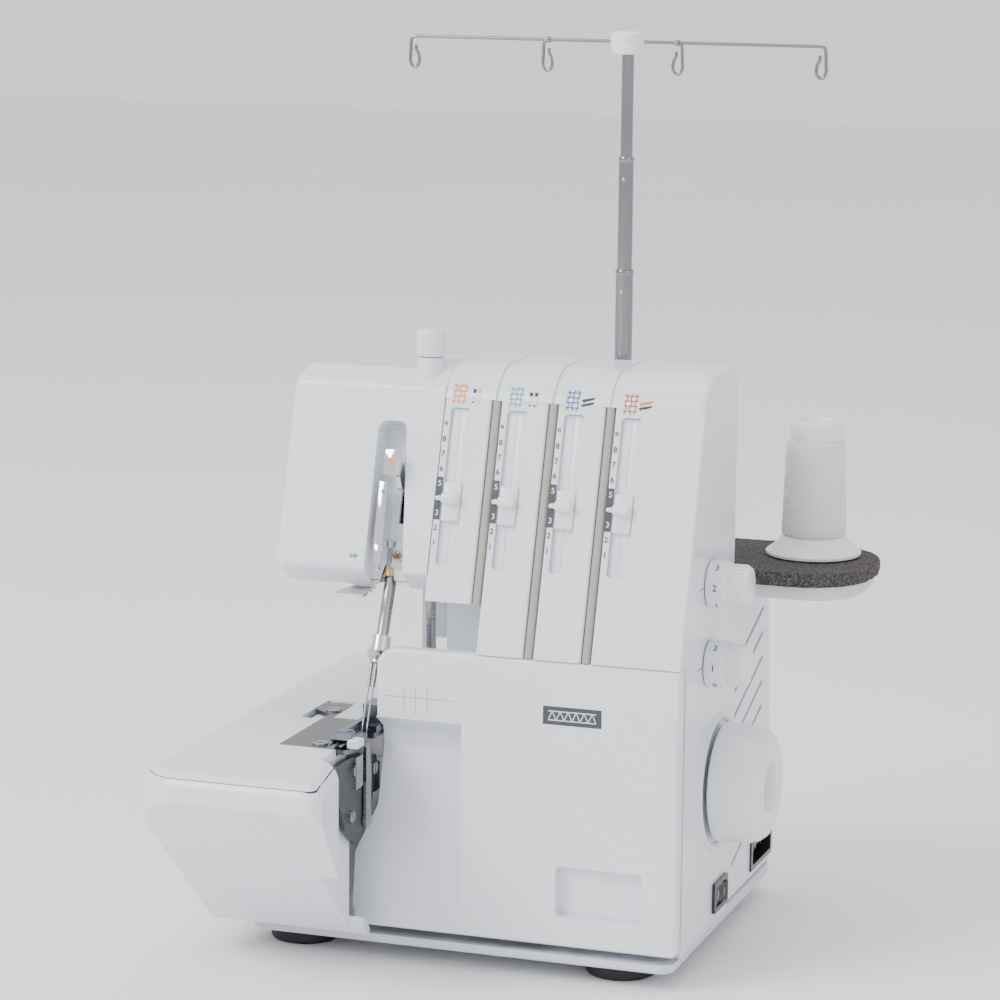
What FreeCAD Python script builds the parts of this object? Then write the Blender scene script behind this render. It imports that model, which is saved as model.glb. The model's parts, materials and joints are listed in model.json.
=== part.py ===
import FreeCAD, Part
import math
import os

# Serger (overlock) sewing machine, millimetres, +Z up.
# Design frame: x = 0 on the right side of the tower, y = 0 on the front of the looper cover (+Y is the
# back), z = 0 on the table. Every node is moved by CENTRE_X and CENTRE_Y when it is written, so that the
# written origin is under the middle of the whole machine.

Vector = FreeCAD.Vector

# --- overall body ---------------------------------------------------------------------------------
TOWER_WIDTH = 131.5
HEAD_WIDTH = 80.5
BODY_DEPTH = 97.0
BODY_TOP = 293.0
WALL = 2.5
SEAM_GAP = 0.4
FLOOR_Z = 16.2          # top of the base tray, where the covers stand
SEAM_Z = 158.6          # top of the looper cover
LEAN_SLOPE = 0.3        # run over rise of the leaning front of the tower and head
HEAD_TOP_DROP = 5.0     # the head is this much lower than the tower
HEAD_CHIN_Z = 194.0     # where the head's front meets its lower chamfer
HEAD_BOTTOM_Z = 184.0
HEAD_BACK_DROP = 10.0
THROAT_INSET = 28.1     # the tower's lower left corner is open this far to the right of the head
COMPARTMENT_DEPTH = 40.0

# --- base and feet --------------------------------------------------------------------------------
BASE_LEFT_OVERHANG = 11.0   # base tray's left end beyond the head
BASE_DEPTH = 190.0
BASE_THICKNESS = 7.0
FOOT_HEIGHT = 9.0
FOOT_RADIUS = 17.5
FOOT_INSET_X = 21.5
FRONT_FOOT_Y = 28.0
REAR_FOOT_INSET = 30.0

# --- arm (cloth plate) ----------------------------------------------------------------------------
ARM_OVERHANG = 24.0     # arm's left face beyond the head
ARM_TOP = 114.8
ARM_NOSE = 105.0        # how far the arm reaches in front of the looper cover
ARM_BACK = 175.0
ARM_NOSE_Z = 103.0
ARM_FOOT_Z = 17.0

# --- tension section ------------------------------------------------------------------------------
PANEL_PITCH = 28.9
PANEL_THICKNESS = 4.0
PANEL_TOP_U = 124.0     # measured up the leaning face from the seam
FIRST_PANEL_BOTTOM_U = 27.4
STRIP_WIDTH = 4.0
ROLL_GROOVE_WIDTH = 1.4
ROLL_GROOVE_DEPTH = 1.0
SLOT_OFFSET = 8.5
SLOT_WIDTH = 10.3
SLOT_BOTTOM_U = 42.2
SLOT_TOP_U = 119.4
STEM_WIDTH = 2.0
STEM_CLEARANCE = 0.3
SLIDER_U = 73.1
SLIDER_LENGTH = 17.8
SLIDER_WIDTH = 9.4

# --- drive ----------------------------------------------------------------------------------------
SHAFT_Y = 69.7
SHAFT_Z = 89.0
SHAFT_RADIUS = 5.0
RUNNING_FIT = 0.05
HANDWHEEL_RADIUS = 29.7
HANDWHEEL_WIDTH = 25.0
SIDE_GAP = 2.5
PULLEY_X = -17.0
PULLEY_WIDTH = 9.0
SHAFT_PULLEY_RADIUS = 24.0
MOTOR_PULLEY_RADIUS = 8.0
MOTOR_Y = BODY_DEPTH + 45.0
MOTOR_Z = 70.0
MOTOR_RADIUS = 26.0
MOTOR_LENGTH = 70.0
BELT_THICKNESS = 1.6

# --- needle and presser ---------------------------------------------------------------------------
NEEDLE_OFFSET = 25.2    # needle bar, left of the head's right end
NEEDLE_Y = 15.0         # needle bar axis at NEEDLE_Z
NEEDLE_Z = 157.0
NEEDLE_LEAN = 24.0
NEEDLE_BAR_RADIUS = 3.0
NEEDLE_SHIFTS = (-3.1, -0.7)   # the two needles, measured from the bar's axis
CLAMP_RADIUS = 4.6
PRESSER_OFFSET = 12.0
PRESSER_Y = 47.5
PRESSER_RADIUS = 3.5
FOOT_RIGHT = -TOWER_WIDTH - 22.8   # the foot stays clear of the looper cover as it swings

# --- spool stand and thread pole ------------------------------------------------------------------
STAND_RIGHT = 63.0
STAND_FRONT = 90.0
STAND_DEPTH = 82.0
STAND_LEFT_INSET = 17.0
MAT_TOP = 192.0
MOTOR_COVER_TOP = 175.0
MAT_THICKNESS = 7.5
TRAY_THICKNESS = 7.0
TRAY_INSET = 8.0
PIN_RADIUS = 2.5
PIN_HEIGHT = 55.0
PIN_Y = BODY_DEPTH + 44.4
FIRST_PIN_X = 28.3
PIN_PITCH = 66.0
CONE_BORE_CLEARANCE = 0.1
POLE_X = -63.0
POLE_Y = BODY_DEPTH + 9.0
POLE_RADIUS = 4.35
POLE_WALL = 0.6
POLE_FIT = 0.08
POLE_LOWER_TOP = 335.6
POLE_MIDDLE_TOP = 391.6
POLE_TOP = 442.0
POLE_OVERLAP = 14.0
HUB_RADIUS = 8.4
HUB_HEIGHT = 11.0
GUIDE_WIRE_RADIUS = 0.9
GUIDE_Z = 448.0
GUIDE_SPREAD = (-112.0, -42.0, 26.0, 98.0)

# --- side controls --------------------------------------------------------------------------------
KNOB_Y = 49.3
KNOB_RADIUS = 11.5
KNOB_LENGTH = 20.0
LENGTH_KNOB_Z = 192.3
FEED_KNOB_Z = 153.0
SWITCH_Y = 77.0
SWITCH_Z = 29.5
SWITCH_LENGTH = 22.0
SWITCH_HEIGHT = 13.0
INLET_Y = 166.0
INLET_Z = 29.0
INLET_LENGTH = 42.0
INLET_HEIGHT = 15.0

# --- worked-out places ----------------------------------------------------------------------------
HEAD_RIGHT = -TOWER_WIDTH
HEAD_LEFT = HEAD_RIGHT - HEAD_WIDTH
ARM_LEFT = HEAD_LEFT - ARM_OVERHANG
BASE_LEFT = HEAD_LEFT - BASE_LEFT_OVERHANG
COVER_LEFT = HEAD_RIGHT - 22.0
PLATE_X = HEAD_RIGHT - 27.0        # left face of the black looper plate
NEEDLE_X = HEAD_RIGHT - NEEDLE_OFFSET
PRESSER_X = HEAD_RIGHT - PRESSER_OFFSET
THROAT_RIGHT = HEAD_RIGHT + THROAT_INSET
LEAN_ANGLE = math.degrees(math.atan(LEAN_SLOPE))
LEAN_COS = math.cos(math.radians(LEAN_ANGLE))
PANEL_LEFTS = [HEAD_RIGHT + PANEL_PITCH * index for index in range(4)]
CENTRE_X = (ARM_LEFT + STAND_RIGHT) / 2
CENTRE_Y = (BASE_DEPTH - ARM_NOSE) / 2
NEEDLE_DIR = Vector(0, math.sin(math.radians(NEEDLE_LEAN)), math.cos(math.radians(NEEDLE_LEAN)))
NEEDLE_POINT = Vector(NEEDLE_X, NEEDLE_Y, NEEDLE_Z)
FEED_SLOTS = (NEEDLE_X - 11.5, NEEDLE_X - 6.2)

# --- take-up recess -------------------------------------------------------------------------------
RECESS_LEFT = 33.0      # take-up recess, left of the head's right end
RECESS_RIGHT = 11.5
CHANNEL_INSET = 5.0     # the thread channel, right of the recess's left side
RECESS_DEPTH = 14.0
RECESS_TOP_U = 111.0
SLIT_LEFT = 22.5
SLIT_RIGHT = 15.5
SLIT_BOTTOM_U = 62.0
SLIT_TOP_U = 96.0
TAKE_UP_DEPTH = 38.0    # pivot of the take-up lever behind the head's front

# --- needle plate and looper area -----------------------------------------------------------------
PLATE_FRONT = -34.0
PLATE_BACK = 25.0
PLATE_LEFT = HEAD_RIGHT - 58.5
PLATE_RIGHT = HEAD_RIGHT - 23.5
PLATE_THICKNESS = 2.4
COVER_FLARE = 12.0
LOWER_WALL_X = HEAD_RIGHT - 20.5   # left face of the fixed lower body beside the arm
LOOPER_SHAFT_Y = 30.0
UPPER_LOOPER_Z = 84.0
LOWER_LOOPER_Z = 48.0
COVER_DEPTH = 7.0
COVER_ROOM_RIGHT = -66.0   # the housing is open up to here for the scoop as the cover slides
TRAY_RELIEF_Z = 13.8
COVER_PIVOT_Y = 6.0
COVER_PIVOT_Z = FLOOR_Z + 5.0
HINGE_LUGS = (-64.0, -44.0)   # left faces of the lugs that carry the cover's hinge shaft
LUG_WIDTH = 8.0
LUG_DROP = 2.7
SCOOP_RIGHT = HEAD_RIGHT + 22.0
SCOOP_DEPTH = 13.0

nodes = {}


# --- shape helpers --------------------------------------------------------------------------------
def box(x0, x1, y0, y1, z0, z1):
    """A block between two corners."""
    return Part.makeBox(x1 - x0, y1 - y0, z1 - z0, Vector(x0, y0, z0))


def rod(radius, start, end):
    """A round bar between two points."""
    along = end - start
    return Part.makeCylinder(radius, along.Length, start, along)


def rod_x(radius, start, end, y, z):
    """A round bar along x between two places at one y and z."""
    return rod(radius, Vector(start, y, z), Vector(end, y, z))


def tube(outer, inner, start, end):
    """A round tube between two points."""
    return rod(outer, start, end).cut(rod(inner, start, end))


def fuse(shapes):
    """One clean solid from shapes that meet."""
    return shapes[0].multiFuse(shapes[1:]).removeSplitter()


def outline(corners, place):
    """A closed wire through corners (a, b, radius), each corner rounded by its radius."""
    joints = []
    for index, (a, b, radius) in enumerate(corners):
        here = Vector(a, b, 0)
        before = Vector(corners[index - 1][0], corners[index - 1][1], 0)
        after_corner = corners[(index + 1) % len(corners)]
        after = Vector(after_corner[0], after_corner[1], 0)
        if radius == 0:
            joints.append((here, None, here))
            continue
        back = (before - here).normalize()
        onward = (after - here).normalize()
        half = back.getAngle(onward) / 2
        reach = radius / math.tan(half)
        centre = here + (back + onward).normalize() * (radius / math.sin(half))
        middle = centre + (here - centre).normalize() * radius
        joints.append((here + back * reach, middle, here + onward * reach))
    edges = []
    for index, (start, middle, end) in enumerate(joints):
        if middle is not None:
            edges.append(Part.Arc(place(start), place(middle), place(end)).toShape())
        following = joints[(index + 1) % len(joints)][0]
        if end.distanceToPoint(following) > 1e-6:
            edges.append(Part.makeLine(place(end), place(following)))
    return Part.Wire(edges)


def prism(corners, plane, low, high):
    """A rounded outline in the plane yz, xz or xy, pushed from low to high along the third axis."""
    place = {
        "yz": lambda p: Vector(low, p.x, p.y),
        "xz": lambda p: Vector(p.x, low, p.y),
        "xy": lambda p: Vector(p.x, p.y, low),
    }[plane]
    push = {"yz": Vector(1, 0, 0), "xz": Vector(0, 1, 0), "xy": Vector(0, 0, 1)}[plane]
    return Part.Face(outline(corners, place)).extrude(push * (high - low))


def rectangle(a0, a1, b0, b1, radius=0):
    """Corners of a rectangle with one corner radius."""
    return [(a0, b0, radius), (a1, b0, radius), (a1, b1, radius), (a0, b1, radius)]


def lean(shape):
    """Turns a shape built upright at the seam into the leaning front of the tower."""
    turned = shape.copy()
    turned.rotate(Vector(0, 0, SEAM_Z), Vector(1, 0, 0), -LEAN_ANGLE)
    return turned


TAKE_UP_PIVOT = lean(Part.Vertex(Vector(0, TAKE_UP_DEPTH, SEAM_Z + 75))).Point


def face_box(x0, x1, d0, d1, u0, u1):
    """A block on the leaning front: d is the depth behind it and u the height up it from the seam."""
    return lean(box(x0, x1, d0, d1, SEAM_Z + u0, SEAM_Z + u1))


def face_y(z):
    """Where the leaning front is at a height."""
    return LEAN_SLOPE * (z - SEAM_Z)


def soften(shape, radius, wanted):
    """Rounds the edges that the test picks by their middle point and direction."""
    picked = []
    for edge in shape.Edges:
        if edge.Degenerated:
            continue
        middle = edge.valueAt((edge.FirstParameter + edge.LastParameter) / 2)
        along = edge.tangentAt((edge.FirstParameter + edge.LastParameter) / 2)
        if wanted(middle, along):
            picked.append(edge)
    return shape.makeFillet(radius, picked)


def screw(start, direction, head_radius, head_height, shank_radius, shank_length, slot):
    """A pan-head screw whose head stands on start and whose shank goes the other way."""
    unit = Vector(direction)
    unit.normalize()
    head = Part.makeCylinder(head_radius, head_height, start, unit)
    shank = Part.makeCylinder(shank_radius, shank_length, start - unit * shank_length, unit)
    across = unit.cross(Vector(1, 0, 0))
    if across.Length < 0.1:
        across = unit.cross(Vector(0, 1, 0))
    across.normalize()
    cutter = Part.makeBox(2 * head_radius + 1, slot, head_height)
    cutter.translate(Vector(-head_radius - 0.5, -slot / 2, head_height * 0.5))
    cutter.Placement = FreeCAD.Placement(start, FreeCAD.Rotation(Vector(0, 0, 1), unit)) * cutter.Placement
    return head.fuse(shank).removeSplitter().cut(cutter)


# --- base -----------------------------------------------------------------------------------------
def feet_places():
    """Foot centres: two in front and two behind."""
    left = BASE_LEFT + FOOT_INSET_X
    right = -FOOT_INSET_X - 13.5
    rear = BASE_DEPTH - REAR_FOOT_INSET
    return [(left, FRONT_FOOT_Y), (right, FRONT_FOOT_Y), (left, rear), (right, rear)]


def make_base():
    """The tray that everything stands on, and its rubber feet."""
    tray = prism([(BASE_LEFT, 0.6, 12), (-2, 0.6, 8), (-2, BASE_DEPTH, 8), (BASE_LEFT, BASE_DEPTH, 12)],
                 "xy", FOOT_HEIGHT, FOOT_HEIGHT + BASE_THICKNESS)
    tray = soften(tray, 2.0, lambda m, t: m.z < FOOT_HEIGHT + 0.1 and abs(t.z) < 0.1)
    relief = box(COVER_LEFT - COVER_FLARE - 3, 1, -1, 14, TRAY_RELIEF_Z, 30)
    nodes["base_tray"] = tray.cut(relief)
    feet = []
    for x, y in feet_places():
        foot = rod(FOOT_RADIUS, Vector(x, y, 0), Vector(x, y, FOOT_HEIGHT))
        feet.append(soften(foot, 2.0, lambda m, t: m.z < 0.1))
    nodes["rubber_feet"] = Part.makeCompound(feet)


# --- tower and head -------------------------------------------------------------------------------
def tower_profile(inset):
    """The tower seen from its side, moved inwards by inset."""
    front = inset / LEAN_COS
    top = BODY_TOP - inset
    back = BODY_DEPTH - inset
    split = 9.6 + inset
    seam = SEAM_Z + SEAM_GAP + inset
    return [
        (split, FLOOR_Z + inset, 0), (back, FLOOR_Z + inset, 0), (back, top, 9 - inset),
        (face_y(top) + front, top, 26 - inset), (face_y(seam) + front, seam, 0), (split, seam, 0),
    ]


def make_tower():
    """The tall right-hand housing, open at its lower left front where the fabric passes."""
    outer = prism(tower_profile(0), "yz", HEAD_RIGHT, 0)
    outer = soften(outer, 4.0, lambda m, t: abs(m.x) < 0.01 and (m.z > SEAM_Z + 6 or m.y > BODY_DEPTH - 1)
                   and m.y > face_y(m.z) - 1)
    inner = prism(tower_profile(WALL), "yz", HEAD_RIGHT + WALL, -WALL)
    mouth = box(HEAD_RIGHT - 1, THROAT_RIGHT, -20, COMPARTMENT_DEPTH, 0, HEAD_BOTTOM_Z + 1)
    lining = box(HEAD_RIGHT - 1, THROAT_RIGHT + WALL, -20, COMPARTMENT_DEPTH + WALL, 0,
                 HEAD_BOTTOM_Z + 1 + WALL)
    housing = outer.cut(mouth).cut(inner.cut(lining))
    cover_room = box(THROAT_RIGHT - 1, COVER_ROOM_RIGHT, -1, SCOOP_DEPTH + WALL + 1.9, 0, 130)
    housing = housing.cut(cover_room)
    edge_room = box(THROAT_RIGHT - 1, 1, 9, 11, FLOOR_Z - 1, COVER_PIVOT_Z - LUG_DROP)
    housing = housing.cut(edge_room)
    for x in HINGE_LUGS:
        start = Vector(x, COVER_PIVOT_Y, COVER_PIVOT_Z)
        end = start + Vector(LUG_WIDTH, 0, 0)
        neck = box(x, x + LUG_WIDTH, COVER_PIVOT_Y, 10.5, COVER_PIVOT_Z - LUG_DROP, COVER_PIVOT_Z + 3.2)
        lug = fuse([rod(3.2, start, end), neck])
        housing = fuse([housing, lug.cut(rod(2.0 + RUNNING_FIT, start - Vector(1, 0, 0),
                                             end + Vector(1, 0, 0)))])
    seat = face_box(HEAD_RIGHT - 1, 1, -20, PANEL_THICKNESS, -30, PANEL_TOP_U)
    housing = housing.cut(seat)
    front_wall = face_box(HEAD_RIGHT + 0.3, -0.4, PANEL_THICKNESS, PANEL_THICKNESS + WALL, -3, PANEL_TOP_U)
    front_wall = front_wall.cut(mouth).cut(box(-400, 9, -20, 60, 0, SEAM_Z + SEAM_GAP))
    housing = fuse([housing, front_wall])
    for left in PANEL_LEFTS:
        x = left + SLOT_OFFSET
        half = STEM_WIDTH / 2 + STEM_CLEARANCE
        housing = housing.cut(face_box(x - half, x + half, 0, 12, SLOT_BOTTOM_U, SLOT_TOP_U))
    cuts = [
        rod_x(SHAFT_RADIUS + 2.5, -9, 1, SHAFT_Y, SHAFT_Z),
        rod_x(4.0, -9, 1, KNOB_Y, LENGTH_KNOB_Z),
        rod_x(4.0, -9, 1, KNOB_Y, FEED_KNOB_Z),
        prism(rectangle(SWITCH_Y - SWITCH_LENGTH / 2 - 0.2, SWITCH_Y + SWITCH_LENGTH / 2 + 0.2,
                        SWITCH_Z - SWITCH_HEIGHT / 2 - 0.2, SWITCH_Z + SWITCH_HEIGHT / 2 + 0.2), "yz", -9,
              1),
        box(PULLEY_X - PULLEY_WIDTH / 2 - 3, PULLEY_X + PULLEY_WIDTH / 2 + 3, BODY_DEPTH - 9,
            BODY_DEPTH + 1,
            MOTOR_Z - 26, SHAFT_Z + 34),
        rod_x(SHAFT_RADIUS + 2.0, HEAD_RIGHT - 1, HEAD_RIGHT + 9, SHAFT_Y, SHAFT_Z),
    ]
    for cut in cuts:
        housing = housing.cut(cut)
    for left in PANEL_LEFTS[1:]:
        x = left - STRIP_WIDTH / 2 - 0.6
        half = ROLL_GROOVE_WIDTH / 2
        groove = prism(tower_profile(-1), "yz", x - half, x + half)
        groove = groove.cut(prism(tower_profile(ROLL_GROOVE_DEPTH), "yz", x - 9, x + 9))
        housing = housing.cut(groove.common(box(x - 9, x + 9, -9, BODY_DEPTH - 6, 276, BODY_TOP + 9)))
    nodes["tower_housing"] = housing


def make_panels():
    """Four tension panels with a slot each, and the thread channel strips between them."""
    strips = []
    below_seam = box(-400, 9, -20, 60, 0, SEAM_Z + SEAM_GAP)
    for index, left in enumerate(PANEL_LEFTS):
        last = index == len(PANEL_LEFTS) - 1
        right = 0 if last else PANEL_LEFTS[index + 1] - STRIP_WIDTH - 1.2
        bottom = FIRST_PANEL_BOTTOM_U if index == 0 else 0.6
        panel = face_box(left, right, 0, PANEL_THICKNESS - 0.02, bottom - 3,
                         PANEL_TOP_U - 0.1).cut(below_seam)
        panel = soften(panel, 1.2, lambda m, t: abs(t.x) < 0.1 and m.y < face_y(m.z) + 0.5 and abs(t.z) > 0.8)
        x = left + SLOT_OFFSET
        slot = lean(prism(rectangle(x - SLOT_WIDTH / 2, x + SLOT_WIDTH / 2, SEAM_Z + SLOT_BOTTOM_U,
                                    SEAM_Z + SLOT_TOP_U, 2.0), "xz", -5, PANEL_THICKNESS + 5))
        nodes["tension_panel_%d" % (index + 1)] = panel.cut(slot)
        if last:
            continue
        low = right + 0.4
        bar = face_box(low, low + STRIP_WIDTH, 0.6, PANEL_THICKNESS - 0.05, bottom - 3,
                       PANEL_TOP_U - 0.1).cut(below_seam)
        strips.append(soften(bar, 1.4, lambda m, t: m.y < face_y(m.z) + 1.2 and abs(t.z) > 0.8))
    nodes["thread_channel_strips"] = Part.makeCompound(strips)


def make_sliders():
    """The four tension sliders, each with a stem through its slot."""
    for index, left in enumerate(PANEL_LEFTS):
        x = left + SLOT_OFFSET
        low = SLIDER_U - SLIDER_LENGTH / 2
        side = [(-7.0, SEAM_Z + low, 3.0), (PANEL_THICKNESS - 0.5, SEAM_Z + low, 0),
                (PANEL_THICKNESS - 0.5, SEAM_Z + low + SLIDER_LENGTH, 0),
                (-4.0, SEAM_Z + low + SLIDER_LENGTH, 5.0)]
        cap = prism(side, "yz", x - SLIDER_WIDTH / 2, x + SLIDER_WIDTH / 2)
        for step in range(5):
            groove = SEAM_Z + low + 3.6 + step * 2.6
            cap = cap.cut(box(x - 9, x + 9, -9, -5.4 + step * 0.45, groove, groove + 0.9))
        stem = box(x - STEM_WIDTH / 2, x + STEM_WIDTH / 2, PANEL_THICKNESS - 0.5, 13,
                   SEAM_Z + SLIDER_U - 3, SEAM_Z + SLIDER_U + 3)
        nodes["tension_slider_%d" % (index + 1)] = lean(fuse([cap, stem]))


def head_profile(inset):
    """The head seen from its side, moved inwards by inset."""
    front = inset / LEAN_COS
    top_front = BODY_TOP - HEAD_TOP_DROP - 5.5
    return [
        (face_y(HEAD_CHIN_Z) + front, HEAD_CHIN_Z, 4),
        (face_y(top_front) + front, top_front - inset * 0.7, 5),
        (55, BODY_TOP - HEAD_TOP_DROP - inset, 6),
        (BODY_DEPTH - inset, BODY_TOP - HEAD_TOP_DROP - HEAD_BACK_DROP - inset, 6),
        (BODY_DEPTH - inset, HEAD_BOTTOM_Z, 0),
        (face_y(HEAD_CHIN_Z) + 11 + front, HEAD_BOTTOM_Z, 3),
    ]





def recess_block(grow, front, depth, bottom):
    """The arched space of the take-up recess, grown all round."""
    left = HEAD_RIGHT - RECESS_LEFT - grow
    right = HEAD_RIGHT - RECESS_RIGHT + grow
    top = SEAM_Z + RECESS_TOP_U + grow
    corners = [(left, SEAM_Z + bottom, 0), (right, SEAM_Z + bottom, 0),
               (right - 7, top, 4 + grow), (left, top, 5 + grow)]
    return lean(prism(corners, "xz", front, depth))


def make_head():
    """The head's shell with the take-up recess, and the plate that closes it below."""
    outer = prism(head_profile(0), "yz", HEAD_LEFT, HEAD_RIGHT - 0.3)
    outer = soften(outer, 5.0, lambda m, t: abs(m.x - HEAD_LEFT) < 0.01 and m.z > HEAD_BOTTOM_Z + 1)
    inner = prism(head_profile(WALL), "yz", HEAD_LEFT + WALL, HEAD_RIGHT - 0.3 - WALL)
    open_below = box(HEAD_LEFT + WALL, HEAD_RIGHT - 0.3 - WALL, face_y(HEAD_BOTTOM_Z) + 14,
                     BODY_DEPTH - WALL,
                     HEAD_BOTTOM_Z - 1, HEAD_BOTTOM_Z + 6)
    shell = outer.cut(inner.fuse(open_below))
    pocket = recess_block(2.0, 0.8, RECESS_DEPTH + 2.0, 34).common(outer)
    shell = fuse([shell, pocket])
    shell = shell.cut(recess_block(0, -9, RECESS_DEPTH, 20))
    slit_left = HEAD_RIGHT - SLIT_LEFT
    slit_right = HEAD_RIGHT - SLIT_RIGHT
    shell = shell.cut(face_box(slit_left, slit_right, 5, RECESS_DEPTH + 6, SLIT_BOTTOM_U, SLIT_TOP_U))
    shell = shell.cut(rod(5.2, Vector(PRESSER_X, PRESSER_Y, HEAD_BOTTOM_Z + 60),
                          Vector(PRESSER_X, PRESSER_Y, BODY_TOP + 10)))
    plate = box(HEAD_LEFT + WALL + 0.2, HEAD_RIGHT - 0.3 - WALL - 0.2, face_y(HEAD_BOTTOM_Z) + 16.0,
                BODY_DEPTH - WALL - 0.2, HEAD_BOTTOM_Z + 0.2, HEAD_BOTTOM_Z + 2.6)
    needle_hole = rod(NEEDLE_BAR_RADIUS + 3, NEEDLE_POINT - NEEDLE_DIR * 60, NEEDLE_POINT + NEEDLE_DIR * 80)
    presser_hole = rod(PRESSER_RADIUS + RUNNING_FIT, Vector(PRESSER_X, PRESSER_Y, HEAD_BOTTOM_Z - 5),
                       Vector(PRESSER_X, PRESSER_Y, HEAD_BOTTOM_Z + 15))
    nodes["head_cover"] = shell.cut(needle_hole.common(box(HEAD_LEFT, 0, -90, BODY_DEPTH, 0,
                                                           HEAD_BOTTOM_Z + 25)))
    nodes["head_bottom_plate"] = plate.cut(needle_hole).cut(presser_hole)


def make_take_up():
    """The take-up lever in its slit, the fixed thread guides and the screwed plate in the recess."""
    x = HEAD_RIGHT - (SLIT_LEFT + SLIT_RIGHT) / 2
    lever = lean(prism([(-4.5, SEAM_Z + 84, 2), (1, SEAM_Z + 78, 1), (TAKE_UP_DEPTH + 4, SEAM_Z + 70, 3),
                        (TAKE_UP_DEPTH + 4, SEAM_Z + 80, 3),
                        (3, SEAM_Z + 90, 2), (-4.5, SEAM_Z + 91, 2)], "yz", x - 1.1, x + 1.1))
    pivot = TAKE_UP_PIVOT
    hub = rod_x(7, x - 2.6, x + 2.6, pivot.y, pivot.z)
    bore = rod_x(3 + RUNNING_FIT, x - 9, x + 9, pivot.y, pivot.z)
    cap = lean(box(x - 4.2, x + 1.1, -7.5, -3.6, SEAM_Z + 83, SEAM_Z + 91))
    cap = soften(cap, 1.0, lambda m, t: abs(t.x) < 0.2)
    nodes["take_up_lever"] = fuse([lever, hub, cap]).cut(bore)
    nodes["take_up_pivot_pin"] = fuse([
        rod_x(3, x - 12, x + 12, pivot.y, pivot.z),
        box(x + 8, x + 12, pivot.y - 4, pivot.y + 4, pivot.z - 4, pivot.z + 4),
    ])
    left = HEAD_RIGHT - RECESS_LEFT
    channel = lean(prism([(3, SEAM_Z + 50, 1), (RECESS_DEPTH - 0.1, SEAM_Z + 50, 0),
                          (RECESS_DEPTH - 0.1, SEAM_Z + 60, 0), (8, SEAM_Z + 80, 2), (3, SEAM_Z + 80, 2)],
                         "yz", left + CHANNEL_INSET, left + CHANNEL_INSET + 1.5))
    hook = lean(prism([(3.5, SEAM_Z + 37.5, 0.4), (5.5, SEAM_Z + 38, 0.4), (6.5, SEAM_Z + 50.5, 0),
                       (3.0, SEAM_Z + 50.5, 0)], "yz", left + CHANNEL_INSET, left + CHANNEL_INSET + 1.5))
    nodes["looper_thread_guide"] = fuse([channel, hook])
    right = HEAD_RIGHT - RECESS_RIGHT
    plate = face_box(right - 14.5, right - 3.0, RECESS_DEPTH - 1.6, RECESS_DEPTH - 0.05, 40, 53)
    nodes["take_up_plate"] = soften(plate, 1.2, lambda m, t: abs(t.y) > 0.8)
    start = lean(Part.Vertex(Vector(right - 8.7, RECESS_DEPTH - 1.65, SEAM_Z + 46))).Point
    nodes["take_up_plate_screw"] = screw(start, (0, -LEAN_COS, LEAN_COS * LEAN_SLOPE), 3.1, 1.6, 1.4, 1.5,
                                         0.9)
    nodes["take_up_plate"] = nodes["take_up_plate"].cut(nodes["take_up_plate_screw"])
    nodes["looper_thread_guide"] = nodes["looper_thread_guide"].cut(nodes["take_up_plate"])
    guide = HEAD_RIGHT - 45.5
    clip = prism([(guide, 3.5, 2), (guide + 15, 3.5, 2), (guide + 15, 16, 0), (guide, 16, 0)], "xy",
                 HEAD_CHIN_Z - 12.3, HEAD_CHIN_Z - 10.9)
    riser = box(guide + 2, guide + 13, 24.9, 26.2, HEAD_BOTTOM_Z - 2.5, HEAD_BOTTOM_Z - 0.1)
    floor = box(guide + 2, guide + 13, 12, 26.2, HEAD_CHIN_Z - 12.3, HEAD_CHIN_Z - 10.9)
    nodes["head_thread_guide"] = fuse([clip, floor, riser])





# --- arm, needle plate and cloth area -------------------------------------------------------------



def cover_outline(grow):
    """Corners of the looper cover seen from the front, grown on its left side."""
    left = COVER_LEFT - grow
    return [(0, FLOOR_Z + 1.6, 3), (0, SEAM_Z, 0), (left, SEAM_Z, 10), (left, 118, 0), (left - 1.5, 78, 8),
            (left - COVER_FLARE, 54, 6), (left - COVER_FLARE, FLOOR_Z + 1.6, 3)]


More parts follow.
